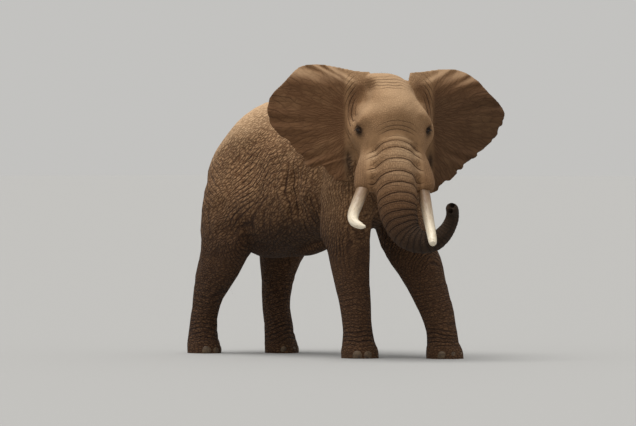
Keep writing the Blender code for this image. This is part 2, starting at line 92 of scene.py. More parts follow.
# Leg sections: height, half width, half length behind, half length in front.
FORELEG = (
    (2.92, 0.10, 0.14, 0.14),
    (2.60, 0.20, 0.32, 0.28),
    (2.20, 0.25, 0.42, 0.36),
    (1.85, 0.26, 0.42, 0.33),
    (1.52, 0.25, 0.34, 0.29),
    (1.22, 0.225, 0.27, 0.26),
    (0.92, 0.20, 0.22, 0.22),
    (0.62, 0.18, 0.19, 0.20),
    (0.38, 0.172, 0.175, 0.185),
    (0.20, 0.185, 0.18, 0.20),
    (0.09, 0.212, 0.20, 0.25),
    (-0.12, 0.212, 0.20, 0.25),
)
HIND_LEG = (
    (2.75, 0.12, 0.16, 0.16),
    (2.40, 0.24, 0.36, 0.36),
    (2.00, 0.29, 0.46, 0.46),
    (1.60, 0.28, 0.42, 0.44),
    (1.28, 0.235, 0.32, 0.34),
    (0.95, 0.185, 0.22, 0.235),
    (0.65, 0.158, 0.185, 0.18),
    (0.42, 0.16, 0.18, 0.17),
    (0.22, 0.175, 0.19, 0.19),
    (0.09, 0.195, 0.205, 0.23),
    (-0.12, 0.195, 0.205, 0.23),
)
# Leg paths, from the withers or the hip down to below the sole: x, y, z.
LEG_PATHS = {
    "foreleg_right": ((-0.34, -0.60, 2.92), (-0.46, -0.86, 2.20), (-0.46, -0.79, 1.52), (-0.39, -0.79, 0.92),
                      (-0.355, -0.84, 0.38), (-0.34, -0.86, -0.12)),
    "foreleg_left": ((0.34, -0.60, 2.92), (0.43, -0.76, 2.20), (0.42, -0.89, 1.52), (0.34, -1.32, 0.92),
                     (0.285, -1.62, 0.38), (0.26, -1.71, -0.12)),
    "hind_leg_right": ((-0.30, 1.05, 2.75), (-0.42, 1.16, 2.00), (-0.46, 1.32, 1.28), (-0.42, 1.64, 0.72),
                       (-0.39, 1.765, 0.30), (-0.38, 1.77, -0.12)),
    "hind_leg_left": ((0.30, 1.05, 2.75), (0.42, 1.14, 2.00), (0.44, 1.22, 1.28), (0.40, 1.28, 0.72),
                      (0.35, 1.17, 0.30), (0.33, 1.11, -0.12)),
}
# Tail stations: centre and radius. The tuft hangs from its end.
TAIL = (
    (0.00, 1.60, 2.50, 0.085),
    (0.00, 1.78, 2.38, 0.078),
    (0.00, 1.86, 2.16, 0.060),
    (0.01, 1.88, 1.88, 0.046),
    (0.02, 1.88, 1.55, 0.034),
    (0.03, 1.88, 1.15, 0.025),
)

# Stations in the head's frame: left, forward, up, half width, half length behind, half length in front.
SKULL = (
    (-0.13, -0.18, 0.685, 0.10, 0.10, 0.10),
    (-0.09, -0.17, 0.64, 0.21, 0.20, 0.18),
    (-0.03, -0.15, 0.52, 0.275, 0.33, 0.30),
    (0, -0.11, 0.36, 0.335, 0.41, 0.40),
    (0, -0.08, 0.22, 0.42, 0.44, 0.44),
    (0, -0.06, 0.08, 0.46, 0.46, 0.44),
    (0, -0.04, -0.12, 0.46, 0.44, 0.42),
    (0, -0.02, -0.32, 0.40, 0.40, 0.42),
    (0, 0.04, -0.50, 0.36, 0.32, 0.38),
    (0, 0.12, -0.66, 0.28, 0.20, 0.32),
    (0, 0.18, -0.76, 0.16, 0.10, 0.20),
)
# The arch behind the temples that the ears grow from.
EAR_BASE = (
    (-0.06, -0.34, 0.63, 0.18, 0.08, 0.08),
    (-0.04, -0.33, 0.58, 0.33, 0.11, 0.10),
    (-0.01, -0.32, 0.47, 0.45, 0.12, 0.11),
    (0, -0.29, 0.32, 0.515, 0.13, 0.13),
    (0, -0.24, 0.12, 0.53, 0.15, 0.16),
    (0, -0.17, -0.08, 0.50, 0.18, 0.18),
    (0, -0.13, -0.26, 0.42, 0.17, 0.17),
)
# The broad muzzle that joins the trunk and the tusk sheaths.
MUZZLE = (
    (-0.01, 0.08, 0.12, 0.22, 0.16, 0.16),
    (-0.01, 0.12, -0.10, 0.32, 0.18, 0.20),
    (-0.01, 0.17, -0.32, 0.360, 0.18, 0.23),
    (-0.02, 0.23, -0.52, 0.385, 0.16, 0.24),
    (-0.02, 0.28, -0.68, 0.37, 0.12, 0.17),
    (-0.02, 0.30, -0.75, 0.32, 0.06, 0.08),
)
TRUNK = (
    (-0.02, 0.14, 0.06, 0.20, 0.18, 0.18),
    (-0.02, 0.20, -0.14, 0.24, 0.22, 0.22),
    (-0.02, 0.27, -0.38, 0.258, 0.24, 0.24),
    (-0.02, 0.35, -0.60, 0.255, 0.24, 0.24),
    (-0.01, 0.42, -0.82, 0.245, 0.22, 0.23),
    (0.01, 0.47, -1.04, 0.222, 0.20, 0.21),
    (0.09, 0.53, -1.24, 0.182, 0.17, 0.175),
    (0.24, 0.60, -1.34, 0.140, 0.14, 0.145),
    (0.41, 0.65, -1.33, 0.118, 0.115, 0.12),
    (0.53, 0.70, -1.22, 0.098, 0.098, 0.10),
    (0.595, 0.74, -1.09, 0.086, 0.086, 0.088),
    (0.605, 0.775, -0.995, 0.081, 0.081, 0.081),
    (0.59, 0.83, -0.945, 0.079, 0.079, 0.079),
    (0.568, 0.885, -0.935, 0.074, 0.074, 0.074),
)
JAW = (
    (0, -0.26, -0.36, 0.20, 0.12, 0.14),
    (0, -0.10, -0.50, 0.27, 0.16, 0.16),
    (0, 0.03, -0.66, 0.24, 0.15, 0.14),
    (0, 0.10, -0.80, 0.15, 0.10, 0.09),
    (0, 0.13, -0.91, 0.07, 0.06, 0.05),
)
# A tusk's sheath, mirrored for the other side and moved a little to the right with its tusk.
SHEATH = (
    (0.26, 0.08, -0.10, 0.12, 0.12, 0.12),
    (0.30, 0.15, -0.32, 0.118, 0.12, 0.12),
    (0.345, 0.22, -0.50, 0.122, 0.125, 0.125),
    (0.375, 0.28, -0.63, 0.118, 0.12, 0.12),
    (0.385, 0.31, -0.70, 0.104, 0.105, 0.105),
    (0.39, 0.325, -0.735, 0.075, 0.075, 0.075),
)
SHEATH_SHIFT = -0.02  # leftward shift of both sheaths
NECK = (
    (0.02, -0.85, 2.46, 0.48, 0.58, 0.60),
    (-0.08, -1.08, 2.50, 0.42, 0.54, 0.56),
    (-0.24, -1.28, 2.56, 0.38, 0.50, 0.50),
    (-0.40, -1.42, 2.66, 0.35, 0.48, 0.44),
)
# Tusk stations: left, forward, up, radius.
TUSK_RIGHT = (
    (-0.36, 0.22, -0.50, 0.070),
    (-0.41, 0.32, -0.70, 0.072),
    (-0.49, 0.44, -0.87, 0.071),
    (-0.56, 0.58, -1.00, 0.066),
    (-0.575, 0.72, -1.09, 0.057),
    (-0.51, 0.82, -1.14, 0.040),
    (-0.46, 0.86, -1.15, 0.016),
)
TUSK_LEFT = (
    (0.32, 0.22, -0.55, 0.068),
    (0.335, 0.32, -0.76, 0.069),
    (0.345, 0.44, -0.94, 0.067),
    (0.355, 0.57, -1.10, 0.062),
    (0.36, 0.72, -1.24, 0.057),
    (0.355, 0.83, -1.33, 0.050),
    (0.35, 0.87, -1.355, 0.034),
)
# Ear outlines from the top inner corner round to the lower inner corner: away from the midline, up.
EAR_LEFT = (
    (0.25, 0.70), (0.42, 0.71), (0.62, 0.735), (0.82, 0.74), (0.98, 0.69), (1.12, 0.59), (1.26, 0.44),
    (1.40, 0.31), (1.455, 0.22), (1.43, 0.08), (1.38, -0.04), (1.24, -0.20), (1.08, -0.34), (0.93, -0.47),
    (0.80, -0.60), (0.64, -0.71), (0.50, -0.77), (0.42, -0.68),
)
EAR_RIGHT = (
    (0.25, 0.71), (0.42, 0.72), (0.62, 0.765), (0.85, 0.80), (1.03, 0.78), (1.15, 0.70), (1.28, 0.56),
    (1.41, 0.42), (1.46, 0.27), (1.43, 0.10), (1.36, -0.04), (1.20, -0.18), (1.09, -0.30), (1.02, -0.41),
    (0.93, -0.46), (0.80, -0.44), (0.70, -0.58), (0.56, -0.64), (0.47, -0.60),
)
EAR_ROOT = ((0.20, 0.50), (0.27, 0.40), (0.34, 0.20), (0.36, -0.05), (0.33, -0.25), (0.28, -0.40))
# Hollows and swellings. In the head's frame: centre (left, forward, up), radius, push (out, forward, up).
HEAD_PUSHES = (
    ((0.33, 0.02, 0.50), 0.10, (-0.03, -0.10, 0.0)),  # temple
    ((0.43, -0.02, 0.36), 0.11, (-0.05, -0.09, 0.0)),  # lower end of the temple
    ((0.50, -0.10, 0.20), 0.08, (-0.02, -0.05, 0.0)),  # between the brow and the ear
    ((0.50, -0.02, 0.06), 0.07, (0.03, 0.0, 0.0)),  # behind the brow
    ((0.00, 0.28, 0.26), 0.26, (0.0, 0.05, 0.0)),  # forehead
    ((0.38, 0.22, 0.18), 0.10, (0.03, 0.03, 0.0)),  # brow
    ((0.43, 0.15, 0.09), 0.06, (0.030, 0.022, -0.01)),  # the ridge over the eye
    ((0.37, 0.27, 0.0), 0.07, (-0.010, -0.025, 0.0)),  # hollow in front of the eye
    ((0.42, 0.20, -0.09), 0.06, (-0.014, -0.014, 0.0)),  # hollow under it
    ((0.48, 0.0, -0.06), 0.12, (0.04, 0.0, 0.0)),  # cheekbone
    ((0.42, 0.12, -0.28), 0.14, (-0.02, -0.03, 0.0)),  # cheek
    ((0.27, 0.44, -0.62), 0.08, (0.0, -0.04, 0.0)),  # groove between trunk and tusk sheath
    ((0.26, 0.40, -0.44), 0.08, (0.0, -0.04, 0.0)),  # its upper part
    ((0.26, 0.34, -0.26), 0.08, (0.0, -0.03, 0.0)),  # where it fades below the eye
)
# On the body: centre (x, y, z), radius, push.
BODY_PUSHES = (
    ((0.80, 0.70, 2.35), 0.30, (-0.05, 0.0, 0.0)),  # flank
    ((0.62, 1.00, 2.85), 0.25, (0.05, 0.0, 0.03)),  # hip
    ((0.62, -0.62, 2.60), 0.28, (0.05, 0.0, 0.0)),  # shoulder blade
    ((0.58, -0.30, 2.30), 0.22, (-0.03, 0.0, 0.0)),  # behind the shoulder
    ((0.67, -0.04, 2.16), 0.10, (-0.060, 0.0, 0.0)),  # fold behind the upper foreleg
    ((0.68, -0.06, 1.98), 0.10, (-0.090, 0.0, 0.0)),  # its middle
    ((0.66, -0.07, 1.80), 0.10, (-0.080, 0.0, 0.0)),  # its lower end
    ((0.64, -0.24, 1.95), 0.11, (0.045, 0.0, 0.0)),  # the ridge before it
    ((0.68, 1.14, 1.80), 0.12, (-0.045, 0.0, 0.0)),  # between belly and thigh
    ((0.68, 1.05, 1.52), 0.13, (-0.060, 0.0, 0.0)),  # its lower end
    ((0.72, 0.80, 1.75), 0.22, (0.035, 0.0, 0.0)),  # belly before it
    ((0.52, -0.55, 1.55), 0.16, (0.03, 0.05, 0.0)),  # elbow
    ((0.72, 0.95, 1.35), 0.18, (0.02, -0.04, 0.0)),  # knee
)
# Distances down the trunk of its main creases. Towards the tip they come closer together.
TRUNK_CREASES = (
    0.200, 0.262, 0.348, 0.503, 0.662, 0.792, 0.916, 1.013, 1.117, 1.203, 1.278, 1.358, 1.42, 1.48, 1.54,
    1.60, 1.655, 1.71, 1.76, 1.81, 1.86, 1.905, 1.95, 1.99, 2.03, 2.07, 2.11, 2.15, 2.19, 2.23, 2.27, 2.31,
    2.35,
)
EYE = (0.405, 0.122, 0.003)  # out, forward, up
EYE_SHIFT = -0.015  # leftward shift of both eyes
EYE_RADIUS = 0.033
LID = (0.034, 0.021, 0.019)  # the opening's half length, and its height above and below the middle
LID_SLOPE = 0.12  # how steeply the opening slopes down towards the front
LID_CLEAR = 0.004  # from the ball to the lids' outer side
GAZE = (0.74, 0.66, -0.12)  # out, forward, up
NAIL = (0.060, 0.030, 0.062)  # half sizes: across, through and up
FOLD_LAYERS = 4
SIDES = (("right", -1), ("left", 1))
# The nodes of flesh, which one skin stands in for.
FLESH = [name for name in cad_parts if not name.startswith(("eye", "tusk", "tail_tuft"))]


class ElephantSizes(bpy.types.PropertyGroup):
    """What a user would change about the elephant's finish."""

    grain: bpy.props.FloatProperty(
        name="Skin grain", description="Grid size that the flesh is merged on", default=0.011, min=0.006,
        unit="LENGTH")
    skin_triangles: bpy.props.IntProperty(
        name="Skin triangles", description="How many triangles the finished skin keeps", default=192000,
        min=20000)
    fold_depth: bpy.props.FloatProperty(
        name="Fold depth", description="Depth of a fold of full strength", default=0.010, unit="LENGTH")
    hide_colour: bpy.props.StringProperty(
        name="Hide", description="Colour of the dusty hide, sRGB hex", default="A5805C")
    dust_colour: bpy.props.StringProperty(
        name="Dust", description="Colour of dry dust on the upper surfaces, sRGB hex", default="D2B18C")
    # Besides darker hide on the legs and cheeks, this colour paints shade on the ears, temples and trunk.
    dark_hide_and_shade_colour: bpy.props.StringProperty(
        name="Bare hide", description="Colour of hide that the dust has missed, sRGB hex", default="6B4B30")
    ivory_colour: bpy.props.StringProperty(
        name="Ivory", description="Colour of the tusks, sRGB hex", default="E8DCC4")
    tail_hairs: bpy.props.IntProperty(
        name="Tail hairs", description="Hairs in the tail's tuft", default=420, min=10)


def sizes():
    """The sizes and colours that the panel shows."""
    return bpy.context.scene.elephant


# Numbers


def in_head(left, forward, up):
    """A point given in the head's frame."""
    return HEAD_AT + LEFT * left + FORWARD * forward + UP * up


def head_rows(rows, side=1, shift=0.0):
    """Rows of a table with their centres taken out of the head's frame, mirrored first if side is -1."""
    return [(*in_head(side * row[0] + shift, *row[1:3]), *row[3:]) for row in rows]


def head_coordinates(points):
    """Left, forward and up of each point in the head's frame."""
    return (points - HEAD_AT) @ np.stack([LEFT, FORWARD, UP], axis=1)


def smooth_rows(rows, count):
    """Catmull-Rom curve through the rows, which may hold positions and radii together."""
    rows = np.array(rows, float)
    held = np.vstack([2 * rows[0] - rows[1], rows, 2 * rows[-1] - rows[-2]])
    t = np.linspace(0, len(rows) - 1, count)
    i = np.minimum(t.astype(int), len(rows) - 2)
    f = (t - i)[:, None]
    a, b, c, d = (held[i + k] for k in range(4))
    return 0.5 * (2 * b + (c - a) * f + (2 * a - 5 * b + 4 * c - d) * f**2 + (3 * b - a - 3 * c + d) * f**3)


def step(value, low, high):
    """Smooth ramp from 0 at low to 1 at high."""
    t = np.clip((value - low) / (high - low), 0, 1)
    return t * t * (3 - 2 * t)


def near(points, centre, radius):
    """1 at a centre, fading as a bell with distance."""
    return np.exp(-np.sum((points - np.array(centre)) ** 2, axis=-1) / radius**2)


def bell(value, middle, width):
    """1 round a middle value, falling to 0 beyond a width on either side."""
    return np.exp(-((value - middle) / width) ** 4)


def unit(vectors):
    """Vectors at unit length."""
    return vectors / np.linalg.norm(vectors, axis=-1, keepdims=True)


def square_to(vector, way):
    """The part of a vector that is square to each unit way, at unit length."""
    return unit(vector - (way @ vector)[..., None] * way)


def scattered(cell, seed):
    """A number from 0 to 1 for each whole-number cell, which looks random and never changes."""
    x, y, z = (cell[..., k] for k in range(3))
    mixed = x * 73856093 ^ y * 19349663 ^ z * 83492791 ^ (seed + 1) * 40503001
    mixed = ((mixed ^ (mixed >> 13)) * 1274126177) & 0x7FFFFFFF
    return (((mixed ^ (mixed >> 15)) * 668265263) & 0xFFFFFF) / 0xFFFFFF


def noise(points, size, seed=0):
    """Smooth values from -1 to 1 that change over a size: scattered values at a grid's corners, blended."""
    points = points / size
    cell = np.floor(points).astype(np.int64)
    part = points - cell
    part = part * part * (3 - 2 * part)
    total = 0
    for corner in itertools.product((0, 1), repeat=3):
        weight = np.prod(np.where(np.array(corner) == 1, part, 1 - part), axis=1)
        total = total + weight * scattered(cell + np.array(corner), seed)
    return 2 * total - 1


def rolls(phase):
    """Rounded rolls with a sharp valley at each whole number."""
    return np.abs(np.sin(np.pi * phase)) ** 0.55


# Meshes


def rings(rows, across, count, sides, squareness=2.0, facing=None):
    """Rings of a loft: superellipses on centres along a smooth path, square to the path or to facing.

    Rows hold a centre, the half width along across and the half lengths to the two other sides.
    """
    rows = smooth_rows(rows, count)
    centre = rows[:, :3]
    along = np.gradient(centre, axis=0) if facing is None else centre * 0 + facing
    along = unit(along)
    u = square_to(np.array(across, float), along)
    v = np.cross(u, along)
    angle = np.linspace(0, 2 * math.pi, sides, endpoint=False)
    c, s = (np.sign(part) * np.abs(part) ** (2 / squareness) for part in (np.cos(angle), np.sin(angle)))
    length = np.where(s > 0, rows[:, 4:5], rows[:, 5:6])
    return centre[:, None] + u[:, None] * (rows[:, 3:4] * c)[..., None] + v[:, None] * (length * s)[..., None]


def grid_faces(high, wide, wrap=False):
    """Corner numbers of the quads between neighbouring rows and columns of a grid."""
    number = np.arange(high * wide).reshape(high, wide)
    if wrap:
        number = np.hstack([number, number[:, :1]])
    low, up = number[:-1], number[1:]
    return np.stack([low[:, :-1], low[:, 1:], up[:, 1:], up[:, :-1]], axis=-1).reshape(-1, 4)


def capped(grid):
    """A tube of rings with both ends closed by a point in the middle: points and faces."""
    high, wide = grid.shape[:2]
    points = np.vstack([grid.reshape(-1, 3), grid[0].mean(0), grid[-1].mean(0)])
    number = np.arange(wide)
    after = np.roll(number, -1)
    last = (high - 1) * wide
    caps = np.vstack([
        np.stack([after, number, np.full(wide, high * wide)], axis=1),
        np.stack([number + last, after + last, np.full(wide, high * wide + 1)], axis=1),
    ])
    return points, grid_faces(high, wide, True).tolist() + caps.tolist()


def joined(shapes):
    """Several shapes as one: points and faces."""
    points, faces, count = [], [], 0
    for shape, corners in shapes:
        points.append(shape)
        faces += [[corner + count for corner in face] for face in corners]
        count += len(shape)
    return np.vstack(points), faces


def piece(name, points, faces):
    """A mesh object at the origin, with its faces turned outwards and shaded smooth."""
    mesh = bpy.data.meshes.new(name)
    mesh.from_pydata(points, [], faces)
    bm = bmesh.new()
    bm.from_mesh(mesh)
    bmesh.ops.recalc_face_normals(bm, faces=bm.faces)
    bm.to_mesh(mesh)
    bm.free()
    mesh.polygons.foreach_set("use_smooth", np.ones(len(mesh.polygons), bool))
    obj = bpy.data.objects.new(name, mesh)
    bpy.context.scene.collection.objects.link(obj)
    return obj


def placed(obj):
    """Moves a mesh from the working frame to the model's own."""
    write_points(obj.data, read_points(obj.data) + PLACE)
    return obj


def read_points(mesh):
    """The places of a mesh's points."""
    points = np.empty(len(mesh.vertices) * 3, np.float32)
    mesh.vertices.foreach_get("co", points)
    return points.reshape(-1, 3).astype(float)


def write_points(mesh, points):
    """Moves a mesh's points."""
    mesh.vertices.foreach_set("co", points.astype(np.float32).ravel())
    mesh.update()


def read_normals(mesh):
    """The way the surface faces at each point of a mesh."""
    normals = np.empty(len(mesh.vertices) * 3, np.float32)
    mesh.vertex_normals.foreach_get("vector", normals)
    return normals.reshape(-1, 3).astype(float)


def write_attribute(mesh, name, values):
    """Gives each point of a mesh a number, or a vector, that a material can read by name."""
    kind, key = ("FLOAT", "value") if np.ndim(values) == 1 else ("FLOAT_VECTOR", "vector")
    mesh.attributes.new(name, kind, "POINT").data.foreach_set(key, np.asarray(values, np.float32).ravel())


def modified(obj, kind, **settings):
    """Puts the mesh that one modifier makes in the place of the object's own."""
    modifier = obj.modifiers.new(kind.lower(), kind)
    for name, value in settings.items():
        setattr(modifier, name, value)
    mesh = bpy.data.meshes.new_from_object(obj.evaluated_get(bpy.context.evaluated_depsgraph_get()))
    obj.modifiers.clear()
    old, obj.data = obj.data, mesh
    bpy.data.meshes.remove(old)
    return obj


# Materials


def linear(colour):
    """An sRGB hex colour as linear red, green, blue and alpha."""
    channels = [int(colour[i:i + 2], 16) / 255 for i in (0, 2, 4)]
    return (*(c / 12.92 if c <= 0.04045 else ((c + 0.055) / 1.055) ** 2.4 for c in channels), 1.0)


def add(tree, kind, inputs=None, output=0, **settings):
    """Adds a node and gives one of its outputs.

    Inputs are values or other nodes' outputs by name or number; settings are the node's own properties.
    """
    made = tree.nodes.new("ShaderNode" + kind)
    for name, value in settings.items():
        setattr(made, name, value)
    for name, value in (inputs or {}).items():
        if isinstance(value, bpy.types.NodeSocket):
            tree.links.new(value, made.inputs[name])
        else:
            made.inputs[name].default_value = value
    return made.outputs[output]


def material(name):
    """An empty material with a principled shader and an output, its node tree and its shader."""
    made = bpy.data.materials.new(name)
    made.use_nodes = True
    tree = made.node_tree
    return made, tree, tree.nodes["Principled BSDF"]


# The skin's shape


def torso_rows():
    """Upright sections of the torso: centre, half width, and heights above and below its widest place."""
    return [(0, y, wide, half, top - wide, wide - bottom) for y, top, wide, bottom, half in TORSO]


def leg_sections(name):
    """The table of sections that belongs to a leg's name."""
    return FORELEG if "fore" in name else HIND_LEG


def leg_rows(sections, path):
    """Level sections along a leg's path. Where the leg leans forward or back they are longer."""
    path = smooth_rows(path, 200)[::-1]
    lean = np.gradient(path[:, 1], path[:, 2])
    rows = []
    for height, half_width, behind, ahead in sections:
        x, y, slope = (np.interp(height, path[:, 2], values) for values in (path[:, 0], path[:, 1], lean))
        stretch = 1 + 0.8 * slope**2
        rows.append((x, y, height, half_width, behind * stretch, ahead * stretch))
    return rows


def body_lofts():
    """The torso, legs, head, trunk, jaw, tusk sheaths and neck as separate closed tubes."""
    right, level = (1, 0, 0), (0, 0, -1)
    lofts = [rings(torso_rows(), right, 90, 60, facing=(0, 1, 0)), rings(BELLY_LOBE, right, 30, 24)]
    for name, path in LEG_PATHS.items():
        lofts.append(rings(leg_rows(leg_sections(name), path), right, 90, 40, 2.1, level))
    for rows, count, sides, squareness, facing in (
        (SKULL, 60, 48, 2.15, level), (EAR_BASE, 60, 48, 2.3, level), (MUZZLE, 60, 48, 2.3, None),
        (TRUNK, 120, 40, 2.0, None), (JAW, 36, 32, 2.0, None),
    ):
        lofts.append(rings(head_rows(rows), LEFT, count, sides, squareness, facing))
    lofts += [rings(head_rows(SHEATH, side, SHEATH_SHIFT), LEFT, 36, 28) for _, side in SIDES]
    lofts.append(rings(NECK, (0.8, -0.6, 0), 36, 48))
    return [capped(loft) for loft in lofts]


def ear_back(away):
    """Where the ear's middle surface lies, from behind to in front: swept back from its root."""
    return -0.20 - 0.26 * (away - 0.35)


def ear_lines(outline, count, seed):
    """The ear's root and its rim. Nicks and scallops eat into the rim, most along its lower outer side."""
    rim, root = smooth_rows(outline, count), smooth_rows(EAR_ROOT, count)
    place = np.linspace(0, 1, count)
    marks = np.stack([place * 60, 0 * place + seed, 0 * place], axis=1)
    nick = 0.040 * np.clip(noise(marks, 1.0, seed), 0, 1)
    nick = nick + 0.030 * np.clip(noise(marks * (0.33, 1, 1), 1.0, seed + 1), 0, 1)
    nick = nick * step(place, 0.36, 0.50) * (1 - step(place, 0.93, 0.98)) + 0.004
    return root, rim - nick[:, None] * (rim - root) / np.linalg.norm(rim - root, axis=1)[:, None]


def thick_sheet(front, rear):
    """A closed sheet between two grids of points, walled along their edges: points and faces."""
    deep, along = front.shape[:2]
    face = grid_faces(deep, along)
    number = np.arange(deep * along).reshape(deep, along)
    edge = np.concatenate([number[0], number[1:, -1], number[-1, -2::-1], number[-2:0:-1, 0]])
    after, behind = np.roll(edge, -1), deep * along
    walls = np.stack([after, edge, edge + behind, after + behind], axis=1)
    points = np.vstack([front.reshape(-1, 3), rear.reshape(-1, 3)])
    return points, face.tolist() + (face[:, ::-1] + behind).tolist() + walls.tolist()


def ear_shape(outline, side, seed):
    """A fan between the ear's root and its rim, with folds that spread from the root and a ragged rim.

    Points run from root to rim and along the rim; the front and back faces are half a thickness either way.
    """
    along, deep = 200, 60
    root, rim = ear_lines(outline, along, seed)
    t = np.linspace(0, 1, deep)[:, None]
    spread = np.linspace(0, 1, along)[None]
    away, up = np.moveaxis(root[None] * (1 - t[..., None]) + rim[None] * t[..., None], -1, 0)
    place = np.stack(np.broadcast_arrays(spread * 9, t * 1.2, float(seed)), axis=-1).reshape(-1, 3)
    streaks = noise(place * (4, 1, 1), 1.0, seed) + 0.6 * noise(place * (9, 1.5, 1), 1.0, seed + 5)
    streaks = streaks.reshape(deep, along)
    swell = noise(place, 1.0, seed + 9).reshape(deep, along)
    waves = np.sin(2 * math.pi * (10 * spread + 0.8 * swell))
    relief = t * (0.004 * streaks + 0.035 * swell) + 0.020 * t**2.5 * waves
    # The upper rim rolls back, and the hollow in front of the ear's opening is cupped.
    back = ear_back(away) - 0.10 * step(up, 0.48, 0.80) ** 1.5 + relief
    back = back - 0.035 * np.exp(-((away - 0.62) / 0.2) ** 2 - ((up - 0.1) / 0.4) ** 2)
    # 28 mm thick at the root, thinning to 18 mm at the rim.
    thick = 0.5 * (0.028 - 0.010 * t**3)
    middle = np.stack([side * away, back, up], axis=-1)
    half = (0, 1, 0) * thick[..., None]
    points, faces = thick_sheet(middle + half, middle - half)
    return HEAD_AT + points @ np.stack([LEFT, FORWARD, UP]), faces


def pushed(points):
    """Hollows and swellings that the lofts lack: each moves the points near its centre, fading as a bell."""
    for (left, forward, up), radius, (out, ahead, rise) in HEAD_PUSHES:
        for side in (-1, 1) if left else (1,):
            by = LEFT * (side * out) + FORWARD * ahead + UP * rise
            points = points + near(points, in_head(side * left, forward, up), radius)[:, None] * by
    for (x, y, z), radius, (dx, dy, dz) in BODY_PUSHES:
        for side in (-1, 1):
            points = points + near(points, (side * x, y, z), radius)[:, None] * (side * dx, dy, dz)
    return points


def trunk_line():
    """Points down the middle of the trunk."""
    return smooth_rows(head_rows(TRUNK), 260)[:, :3]


def trunk_place(points):
    """How far down the trunk each point lies, how far it is from the middle line, and how far round it."""
    line = trunk_line()
    run = np.concatenate([[0], np.cumsum(np.linalg.norm(np.diff(line, axis=0), axis=1))])
    way = unit(np.gradient(line, axis=0))
    across = square_to(LEFT, way)
    ahead = np.cross(way, across)
    far = 9.0
    along, away, around = np.zeros(len(points)), np.full(len(points), far), np.zeros(len(points))
    # Only points near the trunk matter, and they are taken in batches to save memory.
    middle, reach, batches = in_head(0.1, 0.45, -0.7), 1.1, 40
    close = np.flatnonzero(np.linalg.norm(points - middle, axis=1) < reach)
    for some in np.array_split(close, batches):
        gaps = np.linalg.norm(points[some, None] - line[None], axis=2)
        nearest = gaps.argmin(1)
        away[some] = gaps[np.arange(len(some)), nearest]
        # The share of the way between the samples either side, so that the distance doesn't go in steps.
        low, high = np.maximum(nearest - 1, 0), np.minimum(nearest + 1, len(line) - 1)
        chord = line[high] - line[low]
        share = np.sum((points[some] - line[low]) * chord, axis=1) / np.sum(chord**2, axis=1)
        along[some] = run[low] + (run[high] - run[low]) * np.clip(share, 0, 1)
        off = points[some] - line[nearest]
        turn = np.arctan2(np.sum(off * across[nearest], axis=1), np.sum(off * ahead[nearest], axis=1))
        around[some] = turn * np.interp(along[some], (0, 1, 2.3), (0.24, 0.22, 0.08))
    return along, away, around


def inside(away, up, outline):
    """Whether points lie within a closed outline: a level line from one crosses it an odd number of times."""
    crossings = np.zeros(len(away), int)
    for (x0, y0), (x1, y1) in zip(outline, outline[1:] + outline[:1]):
        if y0 != y1:
            crossings += ((y0 > up) != (y1 > up)) & (away < x0 + (up - y0) * (x1 - x0) / (y1 - y0))
    return crossings % 2 == 1


def regions(points):
    """Masks from 0 to 1, and the coordinates that the folds follow, for each point."""
    left, forward, up = head_coordinates(points).T
    along, away, around = trunk_place(points)
    thick = np.interp(along, (0, 0.6, 1.0, 1.35, 1.7, 2.3), (0.28, 0.30, 0.27, 0.22, 0.16, 0.11))
    trunk = (1 - step(away, thick - 0.02, thick + 0.09)) * step(forward, 0.16, 0.34) * step(along, 0.06, 0.34)
    out = np.abs(left)
    # The rows that the creases follow droop a little towards the trunk's sides.
    along = along - np.interp(along, (0.2, 0.9, 1.4), (0.95, 0.7, 0.2)) * around**2
    # The ear's mask reaches a little past its outline.
    shrunk = 0.8 + 0.96 * (out - 0.8), 0.96 * up
    blades = (inside(*shrunk, outline + EAR_ROOT[::-1]) for outline in (EAR_LEFT, EAR_RIGHT))
    blade = np.where(left > 0, *blades)
    off = np.abs(forward - ear_back(out)) - 0.10 * step(up, 0.35, 0.55)
    ear = step(out, 0.47, 0.58) * (1 - step(off, 0.08, 0.14)) * blade
    nape = np.interp(up, (-1.0, -0.6, -0.2, 0.6), (0.15, -0.08, -0.30, -0.50))
    head = step(forward - nape, -0.06, 0.12) * step(up, -1.1, -0.9) * (1 - step(out, 0.62, 0.75))
    x, y, z = points.T
    return SimpleNamespace(
        x=np.abs(x), y=y, z=z, left=left, forward=forward, up=up, out=out, along=along, around=around,
        trunk=trunk, ear=ear, face=head * (1 - trunk) * (1 - ear), rest=(1 - trunk) * (1 - ear) * (1 - head),
        fan=np.arctan2(up - 0.12, out - 0.28), reach=np.hypot(out - 0.28, up - 0.12))


def layer(*families):
    """One layer of lines out of families that stay clear of one another.

    A family is a coordinate across its lines, their spacing, a mask of where they are, their depth as a share
    of the full one, and their width. A layer gives a number that is whole on every line, how strong the lines
    are, how deep, and the share of their spacing that a line takes. Each point takes its strongest family,
    which fades where the next one is as strong.
    """
    masks = np.stack([family[2] for family in families])
    nothing = np.zeros(masks.shape[1])
    first, ordered = masks.argmax(0), np.sort(np.vstack([masks, nothing]), axis=0)
    strength = ordered[-1] * step(ordered[-1] - ordered[-2], 0.0, 0.25)
    across, spacing, _, deep, width = (
        np.choose(first, [part + nothing for part in parts]) for parts in zip(*families))
    return across / spacing, strength, strength * deep, np.clip(width / spacing, 0.02, 0.45)


